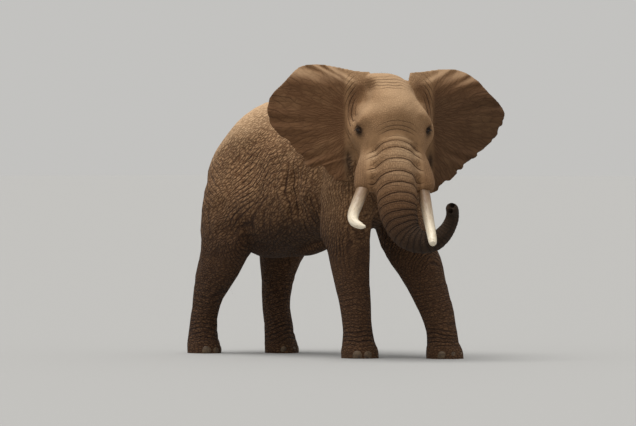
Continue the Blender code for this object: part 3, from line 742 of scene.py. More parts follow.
def folds(at):
    """The skin's lines, in four layers. Noise makes them drift and ripple, and stronger in patches."""
    x, y, z, left, forward, up, out, rest = at.x, at.y, at.z, at.left, at.forward, at.up, at.out, at.rest
    side = np.stack([x, y, z], axis=1)
    drift, drift_2, drift_3 = (noise(side, 0.30, k) for k in (11, 12, 13))
    ripple = noise(side, 0.10, 14)
    patches = 0.5 + 0.5 * noise(side, 0.35, 15)

    # Trunk rings, closer towards the tip, and finer rings between them.
    ring = np.interp(at.along + 0.006 * ripple, TRUNK_CREASES, np.arange(len(TRUNK_CREASES)))
    gap = np.interp(at.along, TRUNK_CREASES, np.gradient(TRUNK_CREASES))
    ring_mask = at.trunk * (0.55 + 0.45 * patches) * (1 - 0.4 * step(at.along, 1.3, 2.0))
    fine_ring = 2.0 * ring + 0.5 + 0.30 * drift + 0.12 * ripple
    fine_mask = at.trunk * (0.1 + 0.4 * patches)
    # Lines across the bridge of the nose, bowed over the trunk's root, and over the crown.
    bowed = up + 1.5 * left**2 + 0.010 * ripple
    bridge = np.interp(bowed, (-0.20, -0.125, -0.07, 0.015, 0.06, 0.125, 0.20), np.arange(7))
    bridge_mask = at.face * step(forward, 0.2, 0.3) * bell(left, 0, 0.24) * bell(bowed, -0.01, 0.15) * 0.8
    crown = up + 0.55 * (left + 0.06) ** 2 + 0.016 * ripple + 0.01 * drift
    crown_mask = at.face * bell(up, 0.57, 0.09) * bell(left, -0.03, 0.28) * (0.25 + 0.5 * patches)
    # Folds that follow the ear's root round the temple and down the cheek.
    temple = np.hypot(out - 0.14, (up - 0.16) / 1.2) + 0.014 * drift
    temple_mask = at.face * step(out, 0.38, 0.46) * (1 - step(forward, -0.08, 0.10)) * bell(up, 0.25, 0.42)
    cheek = out + 0.10 * up + 0.02 * drift
    cheek_mask = at.face * step(out, 0.24, 0.30) * bell(up, -0.50, 0.25) * step(forward, 0.05, 0.2) * 0.22
    # Rings round the eyes.
    orbit = np.sqrt((out - 0.42) ** 2 + (forward - 0.14) ** 2 + (1.5 * up) ** 2)
    orbit = orbit + 0.012 * ripple + 0.01 * drift
    orbit_mask = at.face * (forward > -0.02) * bell(orbit, 0.100, 0.045) * (0.1 + 0.3 * patches)
    orbit_mask = orbit_mask * step(np.abs(up), 0.0, 0.06)
    # Behind the shoulder the folds hang upright and lie deeper.
    upright = y + 0.12 * (z - 2.0) + 0.10 * drift + 0.02 * ripple
    behind = rest * bell(y, -0.12, 0.36) * bell(z, 2.02, 0.52) * step(x, 0.2, 0.4) * (0.45 + 0.55 * patches)
    # Flank: long lines that climb towards the shoulder.
    climb = 0.60 * y + 0.80 * z + 0.16 * drift + 0.025 * ripple
    flank = rest * bell(y, 0.50, 0.70) * bell(z, 1.95, 0.72) * step(x, 0.15, 0.35) * (0.35 + 0.65 * patches)
    flank = flank * (1 - 0.8 * behind) * (1 - 0.55 * step(z, 2.4, 2.9))
    # Hindquarters: lines that fall towards the thigh.
    fall = 0.70 * y - 0.70 * z + 0.16 * drift_3 + 0.02 * ripple
    rump = rest * step(y, 0.95, 1.35) * bell(z, 1.9, 0.75) * (1 - 0.5 * step(z, 2.3, 2.7))
    rump = rump * (0.8 - 0.5 * patches)
    # Shoulder and upper foreleg: fine upright lines. Wrist and ankle: bands.
    pillar = y + 0.35 * x + 0.10 * z + 0.14 * drift + 0.035 * ripple
    upper_leg = rest * (y < -0.25) * bell(z, 1.60, 0.66) * (1 - 0.7 * behind) * (0.3 + 0.7 * patches)
    band = z + 0.22 * y + 0.090 * drift_2 + 0.028 * ripple
    low = rest * np.clip(bell(z, 0.70, 0.34) * (0.2 + 0.8 * patches) + bell(z, 0.26, 0.14), 0, 1) * 0.8
    # Throat and neck: upright folds. Belly: short upright creases along its lower edge.
    throat = left + 0.5 * forward + 0.09 * drift + 0.02 * ripple
    neck = rest * step(-y, 0.75, 1.0) * step(z, 1.6, 1.9) * (1 - step(z, 2.9, 3.1)) * (0.15 + 0.4 * patches)
    fringe = y + 0.02 * drift + 0.008 * ripple
    belly = rest * bell(z, 1.30, 0.16) * bell(y, 0.55, 0.75) * 0.7
    # Ears: lines that spread like a fan.
    fan = at.fan + 0.06 * drift + 0.03 * ripple
    fan_mask = at.ear * step(at.reach, 0.35, 0.85) * (0.03 + 0.32 * patches)

    return (
        layer((ring * gap, gap, ring_mask, 0.8, 0.010), (climb, 0.072, flank, 0.9, 0.018),
              (fan, 0.095, fan_mask, 0.0, 0.014), (crown, 0.036, crown_mask, 0.3, 0.008)),
        layer((bridge * 0.06, 0.06, bridge_mask, 0.4, 0.008), (temple, 0.042, 0.7 * temple_mask, 0.2, 0.009),
              (upright, 0.085, behind, 1.3, 0.017), (band, 0.052, low, 0.6, 0.015)),
        layer((cheek, 0.026, cheek_mask, 0.1, 0.006), (fall, 0.066, rump, 0.6, 0.016),
              (pillar, 0.056, upper_leg, 0.5, 0.015), (fine_ring * gap / 2, gap / 2, fine_mask, 0.0, 0.006)),
        layer((fringe, 0.034, belly, 0.4, 0.008), (throat, 0.07, neck, 0.8, 0.012),
              (orbit, 0.024, orbit_mask, 0.15, 0.006)),
    )


def slant(at):
    """How far each point lies across the flank's folds, along them and out from the middle."""
    return 0.60 * at.y + 0.80 * at.z, -0.80 * at.y + 0.60 * at.z, at.x


def grain(at):
    """Coordinates in which the hide's cells are one unit across, and how clearly the cells show.

    The cells are drawn out down the trunk and along the flank's folds, spread like a fan on the ears and are
    even on the face. They fade where one set of coordinates gives way to another.
    """
    across, down, out = slant(at)
    nothing = np.zeros(len(at.x))
    choices = (
        (at.trunk, (at.around / 0.020, at.along / 0.050, nothing), 0.45),
        (at.ear, (at.fan / 0.06, at.reach / 0.16, np.sign(at.left) * 5), 0.35),
        (at.face, (at.left / 0.018, at.forward / 0.03, at.up / 0.030), 0.30),
    )
    tests = [mask > 0.5 for mask, _, _ in choices]
    body = across / 0.030, down / 0.080, out / 0.05
    vector = np.stack([np.select(tests, [v[k] for _, v, _ in choices], body[k]) for k in range(3)], axis=1)
    clear = np.select(tests, [strength for _, _, strength in choices], 1 - 0.2 * step(-at.y, 0.2, 0.6))
    for mask, _, _ in choices:
        clear = clear * step(np.abs(mask - 0.5), 0.03, 0.40)
    return vector, clear


def relief(points):
    """Height of the skin's folds over the smooth flesh, in metres: rounded between lines, sunk along them."""
    plate, broad, small = 0.002, 0.007, 0.003
    at = regions(points)
    height = 0
    for phase, _, depth, _ in folds(at):
        height = height - sizes().fold_depth * depth * (1 - rolls(phase))
    # Trunk plates stand a little prouder at their lower edge.
    ring = np.interp(at.along, TRUNK_CREASES, np.arange(len(TRUNK_CREASES)))
    height = height + plate * at.trunk * (ring % 1) * (at.along > 0.3)
    # Broad swells, drawn out along the flank's folds, and smaller ones everywhere.
    across, down, out = slant(at)
    swell = noise(np.stack([across / 0.10, down / 0.24, out / 0.3], axis=1), 1.0, 70)
    height = height + broad * at.rest * step(at.z, 0.9, 1.5) * swell
    height = height + broad * at.rest * noise(points, 0.22, 71)
    return height + small * (1 - at.ear) * noise(points, 0.08, 72)


def refined(obj, spots):
    """Halves the edges within each spot's radius, the given number of times."""
    bm = bmesh.new()
    bm.from_mesh(obj.data)
    for centre, radius, times in spots:
        centre = Vector(centre)
        for turn in range(times):
            reach = radius * (1 - 0.25 * turn)
            edges = [edge for edge in bm.edges if all((end.co - centre).length < reach for end in edge.verts)]
            bmesh.ops.subdivide_edges(bm, edges=edges, cuts=1, use_grid_fill=True)
    bm.to_mesh(obj.data)
    bm.free()


def eye_axes(side):
    """The eye's centre, and its gaze, forward and upward directions."""
    gaze = unit(LEFT * (side * GAZE[0]) + FORWARD * GAZE[1] + UP * GAZE[2])
    ahead = square_to(FORWARD, gaze)
    over = np.cross(gaze, ahead) * (1 if np.cross(gaze, ahead)[2] > 0 else -1)
    return in_head(side * EYE[0] + EYE_SHIFT, *EYE[1:]), gaze, ahead, over


def from_eye(points, side):
    """How far each point lies in front of the eye's centre, over it and out along its gaze."""
    centre, gaze, ahead, over = eye_axes(side)
    return ((points - centre) @ axis for axis in (ahead, over, gaze))


def lid_dome(across):
    """How far out the lids lie at a distance from the gaze: a shallow dome over the ball."""
    return EYE_RADIUS + LID_CLEAR - 0.5 * across**2 / EYE_RADIUS


def eyelid(points, side):
    """Lids: the skin is drawn to a dome over the eye, and inside the almond opening it is sunk behind it."""
    gaze = eye_axes(side)[1]
    a, b, d = from_eye(points, side)
    b = b + LID_SLOPE * a
    across = np.hypot(a, b)
    half, above, below = LID
    almond = np.hypot(a / half, b / np.where(b > 0, above, below))
    # The lids follow the ball; the upper one is heavier, and creases run round both.
    dome = lid_dome(across) + 0.004 * step(b, 0.0, 0.02)
    ridge = 0.005 * np.exp(-((almond - 1.25) / 0.25) ** 2) - 0.005 * np.exp(-((almond - 1.9) / 0.25) ** 2)
    ridge = ridge + 0.004 * np.exp(-((almond - 2.5) / 0.4) ** 2) * step(b, -0.01, 0.03)
    pull = bell(across, 0, 0.048)
    lid = d * (1 - pull) + np.maximum(dome, 0.004) * pull + ridge
    sunk = EYE_RADIUS * (0.70 - 1.8 * step(1 - almond, 0.0, 0.25))
    lid = np.where(almond < 1, np.minimum(lid, sunk), lid)
    close = (np.abs(d) < 0.12) & (across < 0.13)
    return np.where(close[:, None], points + gaze * (lid - d)[:, None], points)


def nostrils(points):
    """Two pits in the end of the trunk: how far each is over the middle and aside, and its radius."""
    line = trunk_line()
    way = unit(line[-1] - line[-8])
    over = square_to(UP, way)
    beside = np.cross(way, over)
    depth = 0.065
    for high, aside, radius in ((-0.034, 0.007, 0.028), (0.032, -0.007, 0.031)):
        off = points - (line[-1] + over * high + beside * aside)
        deep = off @ way
        pit = bell(np.linalg.norm(off - np.outer(deep, way), axis=1), 0, radius) * (deep > -0.05)
        points = points - way * (depth * pit)[:, None]
    return points


def thinned(obj):
    """Thins the skin to its count of triangles.

    It thins least round the eyes, under the belly and at the soles, and less over the head than the body.
    """
    points = read_points(obj.data)
    left, forward, up = head_coordinates(points).T
    x, y, z = points.T
    spots = sum(near(points, eye_axes(side)[0], 0.12) for _, side in SIDES) + (z < 0.16)
    under = bell(x, 0, 0.35) * bell(y, 0.35, 0.70) * (z < 1.45) * (z > 1.1)
    head = (forward > -0.6) & (up > -1.6) & (np.abs(left) < 1.6)
    care = np.where((spots > 0.4) | (under > 0.5), 1.0, np.where(head, 0.75, 0.0))
    group = obj.vertex_groups.new(name="care")
    for weight in (0.75, 1.0):
        group.add(np.flatnonzero(care == weight).tolist(), weight, "REPLACE")
    ratio = sizes().skin_triangles / (2 * len(obj.data.polygons))
    return modified(obj, "DECIMATE", ratio=ratio, vertex_group="care", invert_vertex_group=True,
                    vertex_group_factor=1.2)


def skin_mesh():
    """The whole skin: lofts merged and smoothed, ears and tail added, then sculpted, folded and thinned."""
    fine = sizes().grain
    coarse = fine * 1.6
    flesh = piece("flesh", *joined(body_lofts()))
    modified(flesh, "REMESH", mode="VOXEL", voxel_size=coarse)
    modified(flesh, "SMOOTH", factor=0.5, iterations=int(6 * (0.03 / coarse) ** 2))
    ears = [ear_shape(EAR_RIGHT, -1, 3), ear_shape(EAR_LEFT, 1, 7)]
    tail = capped(rings([(*row, row[3], row[3]) for row in TAIL], (1, 0, 0), 60, 24))
    write_points(flesh.data, pushed(read_points(flesh.data)))
    body = read_points(flesh.data), [list(face.vertices) for face in flesh.data.polygons]
    bpy.data.objects.remove(flesh)
    obj = piece("skin", *joined([body, *ears, tail]))
    modified(obj, "REMESH", mode="VOXEL", voxel_size=fine)
    modified(obj, "SMOOTH", factor=0.5, iterations=3)
    trunk_tip = in_head(0.568, 0.90, -0.935)
    refined(obj, [(eye_axes(side)[0], 0.13, 2) for _, side in SIDES] + [(trunk_tip, 0.12, 1)])
    points = read_points(obj.data)
    points = points + read_normals(obj.data) * relief(points)[:, None]
    for _, side in SIDES:
        points = eyelid(points, side)
    points = nostrils(points)
    sole = 0.004
    points[:, 2] = np.where(points[:, 2] < sole, 0, points[:, 2])
    write_points(obj.data, points)
    return thinned(obj)


def skin_marks(obj):
    """Writes what the hide's material reads: fold lines, cells, dust, dark lower parts, painted shade and wet
    lids.
    """
    points, normals = read_points(obj.data), read_normals(obj.data)
    at = regions(points)
    for number, (phase, strength, _, width) in enumerate(folds(at)):
        for part, values in (("", phase), ("_strength", strength), ("_width", width)):
            write_attribute(obj.data, f"line_{number}{part}", values)
    cells, pebble = grain(at)
    write_attribute(obj.data, "grain", cells)
    y, z, up, out, forward = at.y, at.z, at.up, at.out, at.forward
    dust = step(normals[:, 2] + 0.25 * noise(points, 0.3, 51), 0.1, 0.9) * step(z, 1.4, 2.4)
    dust = dust * (1 - 0.5 * at.face)
    # Dark: the legs, the cheeks, and as painted shade the ears less a mottle, the temples and most of the
    # trunk.
    fan = np.stack([at.fan * 5, at.reach * 1.6, np.sign(at.left)], axis=1)
    mottle = 0.5 * noise(fan, 1.0, 63) + 0.4 * noise(fan * (3, 2, 1), 1.0, 64) + 0.5 * noise(points, 0.14, 66)
    # The ear's upper band, which faces the light, is kept lighter: painted light.
    painted_lit_ear_top = step(up + 0.1 * noise(points, 0.3, 62), 0.45, 0.75)
    # Painted shade in the hollows of the temples.
    temples = sum(near(np.stack([out, up], axis=1), spot, 0.075)
                  for spot in ((0.36, 0.52), (0.43, 0.42), (0.48, 0.30), (0.51, 0.18)))
    dark = 1 - step(z + 0.25 * noise(points, 0.4, 61) - 0.15 * step(y, 0.6, 1.2), 1.1, 2.4)
    dark = np.maximum(dark, at.ear * (0.50 + 0.50 * (1 - painted_lit_ear_top))) - 0.22 * at.ear * step(mottle, 0.0, 0.8)
    dark = np.maximum(dark, 0.55 * at.face * step(-up, 0.12, 0.55) * step(out, 0.20, 0.34))
    dark = np.maximum(dark, 0.8 * at.face * np.clip(temples, 0, 1) * (1 - step(forward, 0.02, 0.14)))
    # Painted shade down the trunk.
    dark = np.maximum(dark, at.trunk * step(at.along, 0.25, 1.25))
    # Deep, all painted shade: the trunk's lower half, the slits behind the cheeks, undersides, the legs and
    # the left ear's foot.
    slit_shadow = near(np.stack([out - 0.50, (up + 0.38) / 2.8], axis=1), (0, 0), 0.06)
    slit_shadow = step(-forward, -0.06, 0.04) * slit_shadow * (forward > -0.6)
    deep = np.maximum(at.trunk * step(at.along, 0.8, 1.6), 0.9 * slit_shadow)
    deep = np.maximum(deep, 0.7 * at.rest * step(-normals[:, 2], 0.1, 0.8) * (1 - step(z, 1.5, 1.9)))
    deep = np.maximum(deep, 0.42 * at.rest * (1 - step(z + 0.20 * noise(points, 0.4, 65), 1.2, 2.15)))
    deep = np.maximum(deep, 0.50 * at.ear * (at.left > 0) * (1 - step(up, 0.3, 0.65)))
    # Round each eye: wet lids, which also carry painted shade, within a ring of painted shade, which reaches
    # furthest in front and below.
    wet = np.zeros(len(points))
    for _, side in SIDES:
        a, b, d = from_eye(points, side)
        here = bell(d, 0, 0.1)
        lids = np.hypot(a / 0.056, (b + 0.004) / 0.050)
        ring = np.hypot((a - 0.012) / 0.058, (b + 0.012) / 0.075)
        shade = np.hypot((a - 0.015) / 0.075, (b + 0.015) / 0.100)
        wet = np.maximum(wet, here * np.exp(-(lids ** 3)))
        deep = np.maximum(deep, 0.55 * here * np.exp(-(ring ** 3)))
        dark = np.maximum(dark, 0.85 * here * np.exp(-(shade ** 2)))
    low = at.rest * (1 - step(z + 0.15 * noise(points, 0.25, 81), 1.0, 1.35))
    marks = {"low": low, "dust": dust, "dark": np.clip(dark, 0, 1), "deep": deep, "wet": wet,
             "pebble": pebble * (1 - 0.55 * dust)}
    for name, values in marks.items():
        write_attribute(obj.data, name, values)


def hide():
    """Elephant hide: thick, dry and cracked all over, coated in red-brown dust that washes off below.

    To the eye it is matt and leathery, with furrows between raised cells. Its fold lines and furrows are
    darkened as painted shade, and painted shade darkens its undersides, hollows and lower parts.
    """
    made, tree, shader = material("dusty_elephant_hide")
    at = add(tree, "TexCoord", output="Object")
    marks = ("low", "dust", "dark", "deep", "wet", "pebble")
    mark = {name: add(tree, "Attribute", output="Fac", attribute_name=name) for name in marks}
    # Tones change over about 450 mm and the grain over 22 mm and less. Lines are shaken over 70 mm.
    broad = add(tree, "TexNoise", {"Vector": at, "Scale": 2.2, "Detail": 5, "Roughness": 0.6})
    fine = add(tree, "TexNoise", {"Vector": at, "Scale": 45, "Detail": 4, "Roughness": 0.65})
    shake = add(tree, "TexNoise", {"Vector": at, "Scale": 14, "Detail": 2})
    shake_all = shake.node.outputs["Color"]
    warp = add(tree, "VectorMath", {0: shake_all, 1: (0.03, 0.03, 0.03), 2: at}, operation="MULTIPLY_ADD")
    # Fold lines: darkened as painted shade and sunk where a layer's number is whole, wandering by a few
    # millimetres.
    lines = 0.0
    for number in range(FOLD_LAYERS):
        phase, strength, width = (add(tree, "Attribute", output="Fac", attribute_name=f"line_{number}{part}")
                                  for part in ("", "_strength", "_width"))
        stray = add(tree, "Math", {0: width, 1: 1.4}, operation="MULTIPLY")
        wander = add(tree, "Math", {0: shake, 1: stray, 2: phase}, operation="MULTIPLY_ADD")
        gap = add(tree, "Math", {0: wander, 1: 0.5}, operation="PINGPONG")
        span = {"Value": gap, "From Min": 0.0, "From Max": width, "To Min": 1.0, "To Max": 0.0}
        line = add(tree, "MapRange", span, interpolation_type="SMOOTHSTEP")
        line = add(tree, "Math", {0: line, 1: strength}, operation="MULTIPLY")
        lines = add(tree, "Math", {0: lines, 1: line}, operation="MAXIMUM")
    # Rounded cells of the grain, 20 to 80 mm across, with furrows between. Round the legs they lie flat,
    # 50 mm wide and 26 mm high. Finer ones, 14 mm across, are everywhere.
    seat = add(tree, "Attribute", output="Vector", attribute_name="grain")
    seat = add(tree, "VectorMath", {0: shake_all, 1: (0.9, 0.9, 0.9), 2: seat}, operation="MULTIPLY_ADD")
    flat = add(tree, "Mapping", {"Vector": warp, "Scale": (20, 20, 38)})
    cells, flat, small = (
        add(tree, "TexVoronoi", {"Vector": vector, "Scale": scale}, feature="DISTANCE_TO_EDGE")
        for vector, scale in ((seat, 1.0), (flat, 1.0), (warp, 1 / 0.014)))
    cells = add(tree, "Mix", {0: mark["low"], 2: cells, 3: flat})
    span = {"Value": cells, "From Min": 0.0, "From Max": 0.40, "To Min": 1.0, "To Max": 0.0}
    furrow = add(tree, "MapRange", span)
    furrow = add(tree, "Math", {0: furrow, 1: 2.0}, operation="POWER")
    furrow = add(tree, "Math", {0: furrow, 1: mark["pebble"]}, operation="MULTIPLY")
    tone = add(tree, "MapRange", {"Value": broad, "From Min": 0.35, "From Max": 0.65})
    colour = linear(sizes().hide_colour)
    for factor, over, blend in (
        (tone, "91704F", "MIX"),
        (mark["dust"], sizes().dust_colour, "MIX"),
        # Dark and deep are painted shade in most places, with darker hide on the legs and cheeks. Wet adds
        # the wet lids and painted shade round the eyes.
        (mark["dark"], sizes().dark_hide_and_shade_colour, "MIX"),
        (mark["deep"], "3C2B1C", "MIX"),
        (mark["wet"], "241B15", "MIX"),
        # Furrows and fold lines are darkened: painted shade.
        (furrow, "96816C", "MULTIPLY"),
        (lines, "705740", "MULTIPLY"),
    ):
        mixed = {0: factor, 6: colour, 7: linear(over)}
        colour = add(tree, "Mix", mixed, 2, data_type="RGBA", blend_type=blend)
    tree.links.new(colour, shader.inputs["Base Color"])
    shader.inputs["Roughness"].default_value = 0.9
    shader.inputs["Specular IOR Level"].default_value = 0.3
    # Height in metres: lines 14 mm and furrows 12 mm deep, fine cells 1.5 mm and grain 3 mm high.
    height = 0.0
    for value, depth in ((lines, -0.014), (furrow, -0.012), (small, 0.0025), (fine, 0.003)):
        height = add(tree, "Math", {0: value, 1: depth, 2: height}, operation="MULTIPLY_ADD")
    bump = add(tree, "Bump", {"Height": height, "Strength": 1.0, "Distance": 1.0})
    tree.links.new(bump, shader.inputs["Normal"])
    return made


class ELEPHANT_OT_skin(bpy.types.Operator):
    """One skin over the whole animal"""

    bl_idname = "elephant.skin"
    bl_label = "Skin"

    def execute(self, context):
        obj = skin_mesh()
        skin_marks(obj)
        placed(obj)
        obj.data.materials.append(hide())
        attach(obj, "root")
        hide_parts(*FLESH)
        return {"FINISHED"}


def eye_material():
    """A wet eye: a dark pupil in an amber-brown iris with a darker rim, under a clear gloss."""
    made, tree, shader = material("wet_eye")
    tilt = add(tree, "Attribute", output="Fac", attribute_name="tilt")
    # The iris is streaked every 4 mm or so.
    at = add(tree, "TexCoord", output="Object")
    streaks = add(tree, "TexNoise", {"Vector": at, "Scale": 260, "Detail": 3})
    tilt = add(tree, "Math", {0: streaks, 1: 0.06, 2: tilt}, operation="MULTIPLY_ADD")
    colour = add(tree, "ValToRGB", {0: tilt})
    stops = colour.node.color_ramp.elements
    for place, shade in ((0.17, "060403"), (0.20, "4A2A12"), (0.30, "6B4320"), (0.36, "1C0F08")):
        stops.new(place).color = linear(shade)
    stops[0].color, stops[-1].color = linear("060403"), linear("2A1A12")
    tree.links.new(colour, shader.inputs["Base Color"])
    shader.inputs["Roughness"].default_value = 0.3
    shader.inputs["Specular IOR Level"].default_value = 0.25
    shader.inputs["Coat Weight"].default_value = 0.2
    return made


class ELEPHANT_OT_eyes(bpy.types.Operator):
    """Both eyes"""

    bl_idname = "elephant.eyes"
    bl_label = "Eyes"

    def execute(self, context):
        finish = eye_material()
        pole = 0.02
        turn = np.linspace(0, 2 * math.pi, 48, endpoint=False)
        tilt = np.linspace(pole, math.pi - pole, 32)[:, None]
        for name, side in SIDES:
            centre, gaze, ahead, over = eye_axes(side)
            ball = (np.cos(tilt)[..., None] * gaze + (np.sin(tilt) * np.cos(turn))[..., None] * ahead
                    + (np.sin(tilt) * np.sin(turn))[..., None] * over)
            obj = placed(piece("eyeball_" + name, *capped(centre + EYE_RADIUS * ball)))
            write_attribute(obj.data, "tilt", np.append(np.repeat(tilt[:, 0] / math.pi, len(turn)), (0, 1)))
            obj.data.materials.append(finish)
            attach(obj, "root")
            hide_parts("eye_" + name)
        return {"FINISHED"}


def ivory():
    """Tusk ivory: cream dentine, worn smooth, that dirt has stained.

    To the eye it is satiny, brown where it leaves the lip and in long streaks, with fine cracks that run
    lengthwise and pale rubbed patches.
    """
    made, tree, shader = material("worn_tusk_ivory")
    seat = add(tree, "Attribute", output="Vector", attribute_name="grain")
    along = add(tree, "SeparateXYZ", {0: seat}, "Z")
    # Streaks are about 30 mm wide, patches 110 mm and cracks 13 mm apart. All are drawn out along the tusk.
    streaks = add(tree, "TexNoise", {"Vector": seat, "Scale": 34, "Detail": 5, "Roughness": 0.65})
    patches = add(tree, "TexNoise", {"Vector": seat, "Scale": 9, "Detail": 3})
    long = add(tree, "Mapping", {"Vector": seat, "Scale": (1, 1, 0.3)})
    crack = add(tree, "TexNoise", {"Vector": long, "Scale": 75, "Detail": 2})
    crack = add(tree, "Math", {0: crack, 1: 0.5, 2: 0.012}, operation="COMPARE")
    crack = add(tree, "Math", {0: crack, 1: 0.4}, operation="MULTIPLY")
    stain = add(tree, "Math", {0: streaks, 1: 0.10, 2: along}, operation="MULTIPLY_ADD")
    span = {"Value": stain, "From Min": 0.11, "From Max": 0.21, "To Min": 0.9, "To Max": 0.0}
    stain = add(tree, "MapRange", span)
    streak = add(tree, "MapRange", {"Value": streaks, "From Min": 0.50, "From Max": 0.68, "To Max": 0.65})
    pale = add(tree, "MapRange", {"Value": patches, "From Min": 0.45, "From Max": 0.65, "To Max": 0.35})
    colour = linear(sizes().ivory_colour)
    for factor, over in ((pale, "F2EADB"), (streak, "C7AD8B"), (crack, "8A6B4C"), (stain, "7D5C3E")):
        colour = add(tree, "Mix", {0: factor, 6: colour, 7: linear(over)}, 2, data_type="RGBA")
    tree.links.new(colour, shader.inputs["Base Color"])
    shader.inputs["Roughness"].default_value = 0.42
    # Height in metres: cracks 1.2 mm deep, streaks 1.5 mm proud.
    height = add(tree, "Math", {0: crack, 1: -0.0012}, operation="MULTIPLY")
    height = add(tree, "Math", {0: streaks, 1: 0.0015, 2: height}, operation="MULTIPLY_ADD")
    bump = add(tree, "Bump", {"Height": height, "Strength": 1.0, "Distance": 1.0})
    tree.links.new(bump, shader.inputs["Normal"])
    return made


class ELEPHANT_OT_tusks(bpy.types.Operator):
    """Both tusks"""

    bl_idname = "elephant.tusks"
    bl_label = "Tusks"

    def execute(self, context):
        finish = ivory()
        turn, run = np.meshgrid(np.linspace(0, 2 * math.pi, 40, endpoint=False), np.linspace(0, 1, 120))
        # Long shallow flutes, up to this share of the radius. The ivory's pattern is laid on a tube.
        flute, radius, length = 0.035, 0.07, 0.25
        flutes = np.stack([np.cos(turn) * 2.2, np.sin(turn) * 2.2, run * 3], axis=-1).reshape(-1, 3)
        uneven = 1 + flute * noise(flutes, 1.0, 31).reshape(*run.shape, 1)
        seat = np.stack([radius * np.cos(turn), radius * np.sin(turn), length * run], axis=-1).reshape(-1, 3)
        for name, rows in (("right", TUSK_RIGHT), ("left", TUSK_LEFT)):
            rows = [(*row, row[3], row[3]) for row in head_rows(rows)]
            grid = rings(rows, LEFT, *run.shape)
            middle = grid.mean(1, keepdims=True)
            obj = piece("ivory_tusk_" + name, *capped(middle + (grid - middle) * uneven))
            write_attribute(obj.data, "grain", np.vstack([seat, (0, 0, 0), (0, 0, length)]))
            placed(obj)
            obj.data.materials.append(finish)
            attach(obj, "root")
            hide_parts("tusk_" + name)
        return {"FINISHED"}


def horn():
    """Toenail: thick dull horn, scuffed and dusty, with fine ridges across its growth."""
    made, tree, shader = material("scuffed_toenail_horn")
    at = add(tree, "TexCoord", output="Object")
    # Ridges are 3 mm high and about 4 mm apart, patches of dirt 45 mm across.
    ridges = add(tree, "Mapping", {"Vector": at, "Scale": (1, 1, 4)})
    ridges = add(tree, "TexNoise", {"Vector": ridges, "Scale": 60, "Detail": 3})
    dirt = add(tree, "TexNoise", {"Vector": at, "Scale": 22, "Detail": 5, "Roughness": 0.7})
    dirt = add(tree, "MapRange", {"Value": dirt, "From Min": 0.4, "From Max": 0.62})
    colour = add(tree, "Mix", {0: dirt, 6: linear("655038"), 7: linear("3B2A1A")}, 2, data_type="RGBA")
    tree.links.new(colour, shader.inputs["Base Color"])
    shader.inputs["Roughness"].default_value = 0.6
    bump = add(tree, "Bump", {"Height": ridges, "Strength": 1.0, "Distance": 0.003})
    tree.links.new(bump, shader.inputs["Normal"])
    return made


def nails():
    """Four nails on each forefoot and three on each hind foot, set in from the foot's outline.

    Each nail is a rounded shield: an ellipsoid squared off a little and cut level at the floor.
    """
    spacing, inset, toe_inset, splay, lift, sole = math.radians(34), 0.024, 0.026, 1.12, 0.036, 0.003
    turn = np.linspace(0, 2 * math.pi, 28, endpoint=False)
    rise = np.linspace(-math.pi / 2 + 0.05, math.pi / 2 - 0.05, 18)[:, None]
    level = np.abs(np.cos(rise)) ** 0.8
    shapes = []
    for name, path in LEG_PATHS.items():
        x, y, _, half_width, _, front = leg_rows(leg_sections(name), path)[-2]
        count = 4 if "fore" in name else 3
        for spot in range(count):
            angle = spacing * (spot - (count - 1) / 2)
            out = np.array([math.sin(angle), -math.cos(angle), 0])
            side = np.array([math.cos(angle), math.sin(angle), 0])
            centre = np.array([x + (half_width - inset) * math.sin(angle) * splay,
                               y - (front - toe_inset) * math.cos(angle), lift])
            grid = (centre + (NAIL[0] * level * np.cos(turn))[..., None] * side
                    + (NAIL[1] * level * np.sin(turn))[..., None] * out
                    + (NAIL[2] * np.sin(rise) + 0 * turn)[..., None] * UP)
            grid[..., 2] = np.maximum(grid[..., 2], sole)
            shapes.append(capped(grid))
    return shapes


class ELEPHANT_OT_toenails(bpy.types.Operator):
    """The nails on all four feet"""

    bl_idname = "elephant.toenails"
    bl_label = "Toenails"

    def execute(self, context):
        obj = placed(piece("toenails", *joined(nails())))
        obj.data.materials.append(horn())
        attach(obj, "root")
        return {"FINISHED"}


def hair_material():
    """Black-brown hair: stiff, slightly glossy keratin, browner in patches."""
    made, tree, shader = material("stiff_dark_hair")
    # Patches are about 33 mm across.
    at = add(tree, "TexCoord", output="Object")
    tone = add(tree, "TexNoise", {"Vector": at, "Scale": 30, "Detail": 2})
    colour = add(tree, "Mix", {0: tone, 6: linear("17110D"), 7: linear("3B2C20")}, 2, data_type="RGBA")
    tree.links.new(colour, shader.inputs["Base Color"])
    shader.inputs["Roughness"].default_value = 0.45
    return made


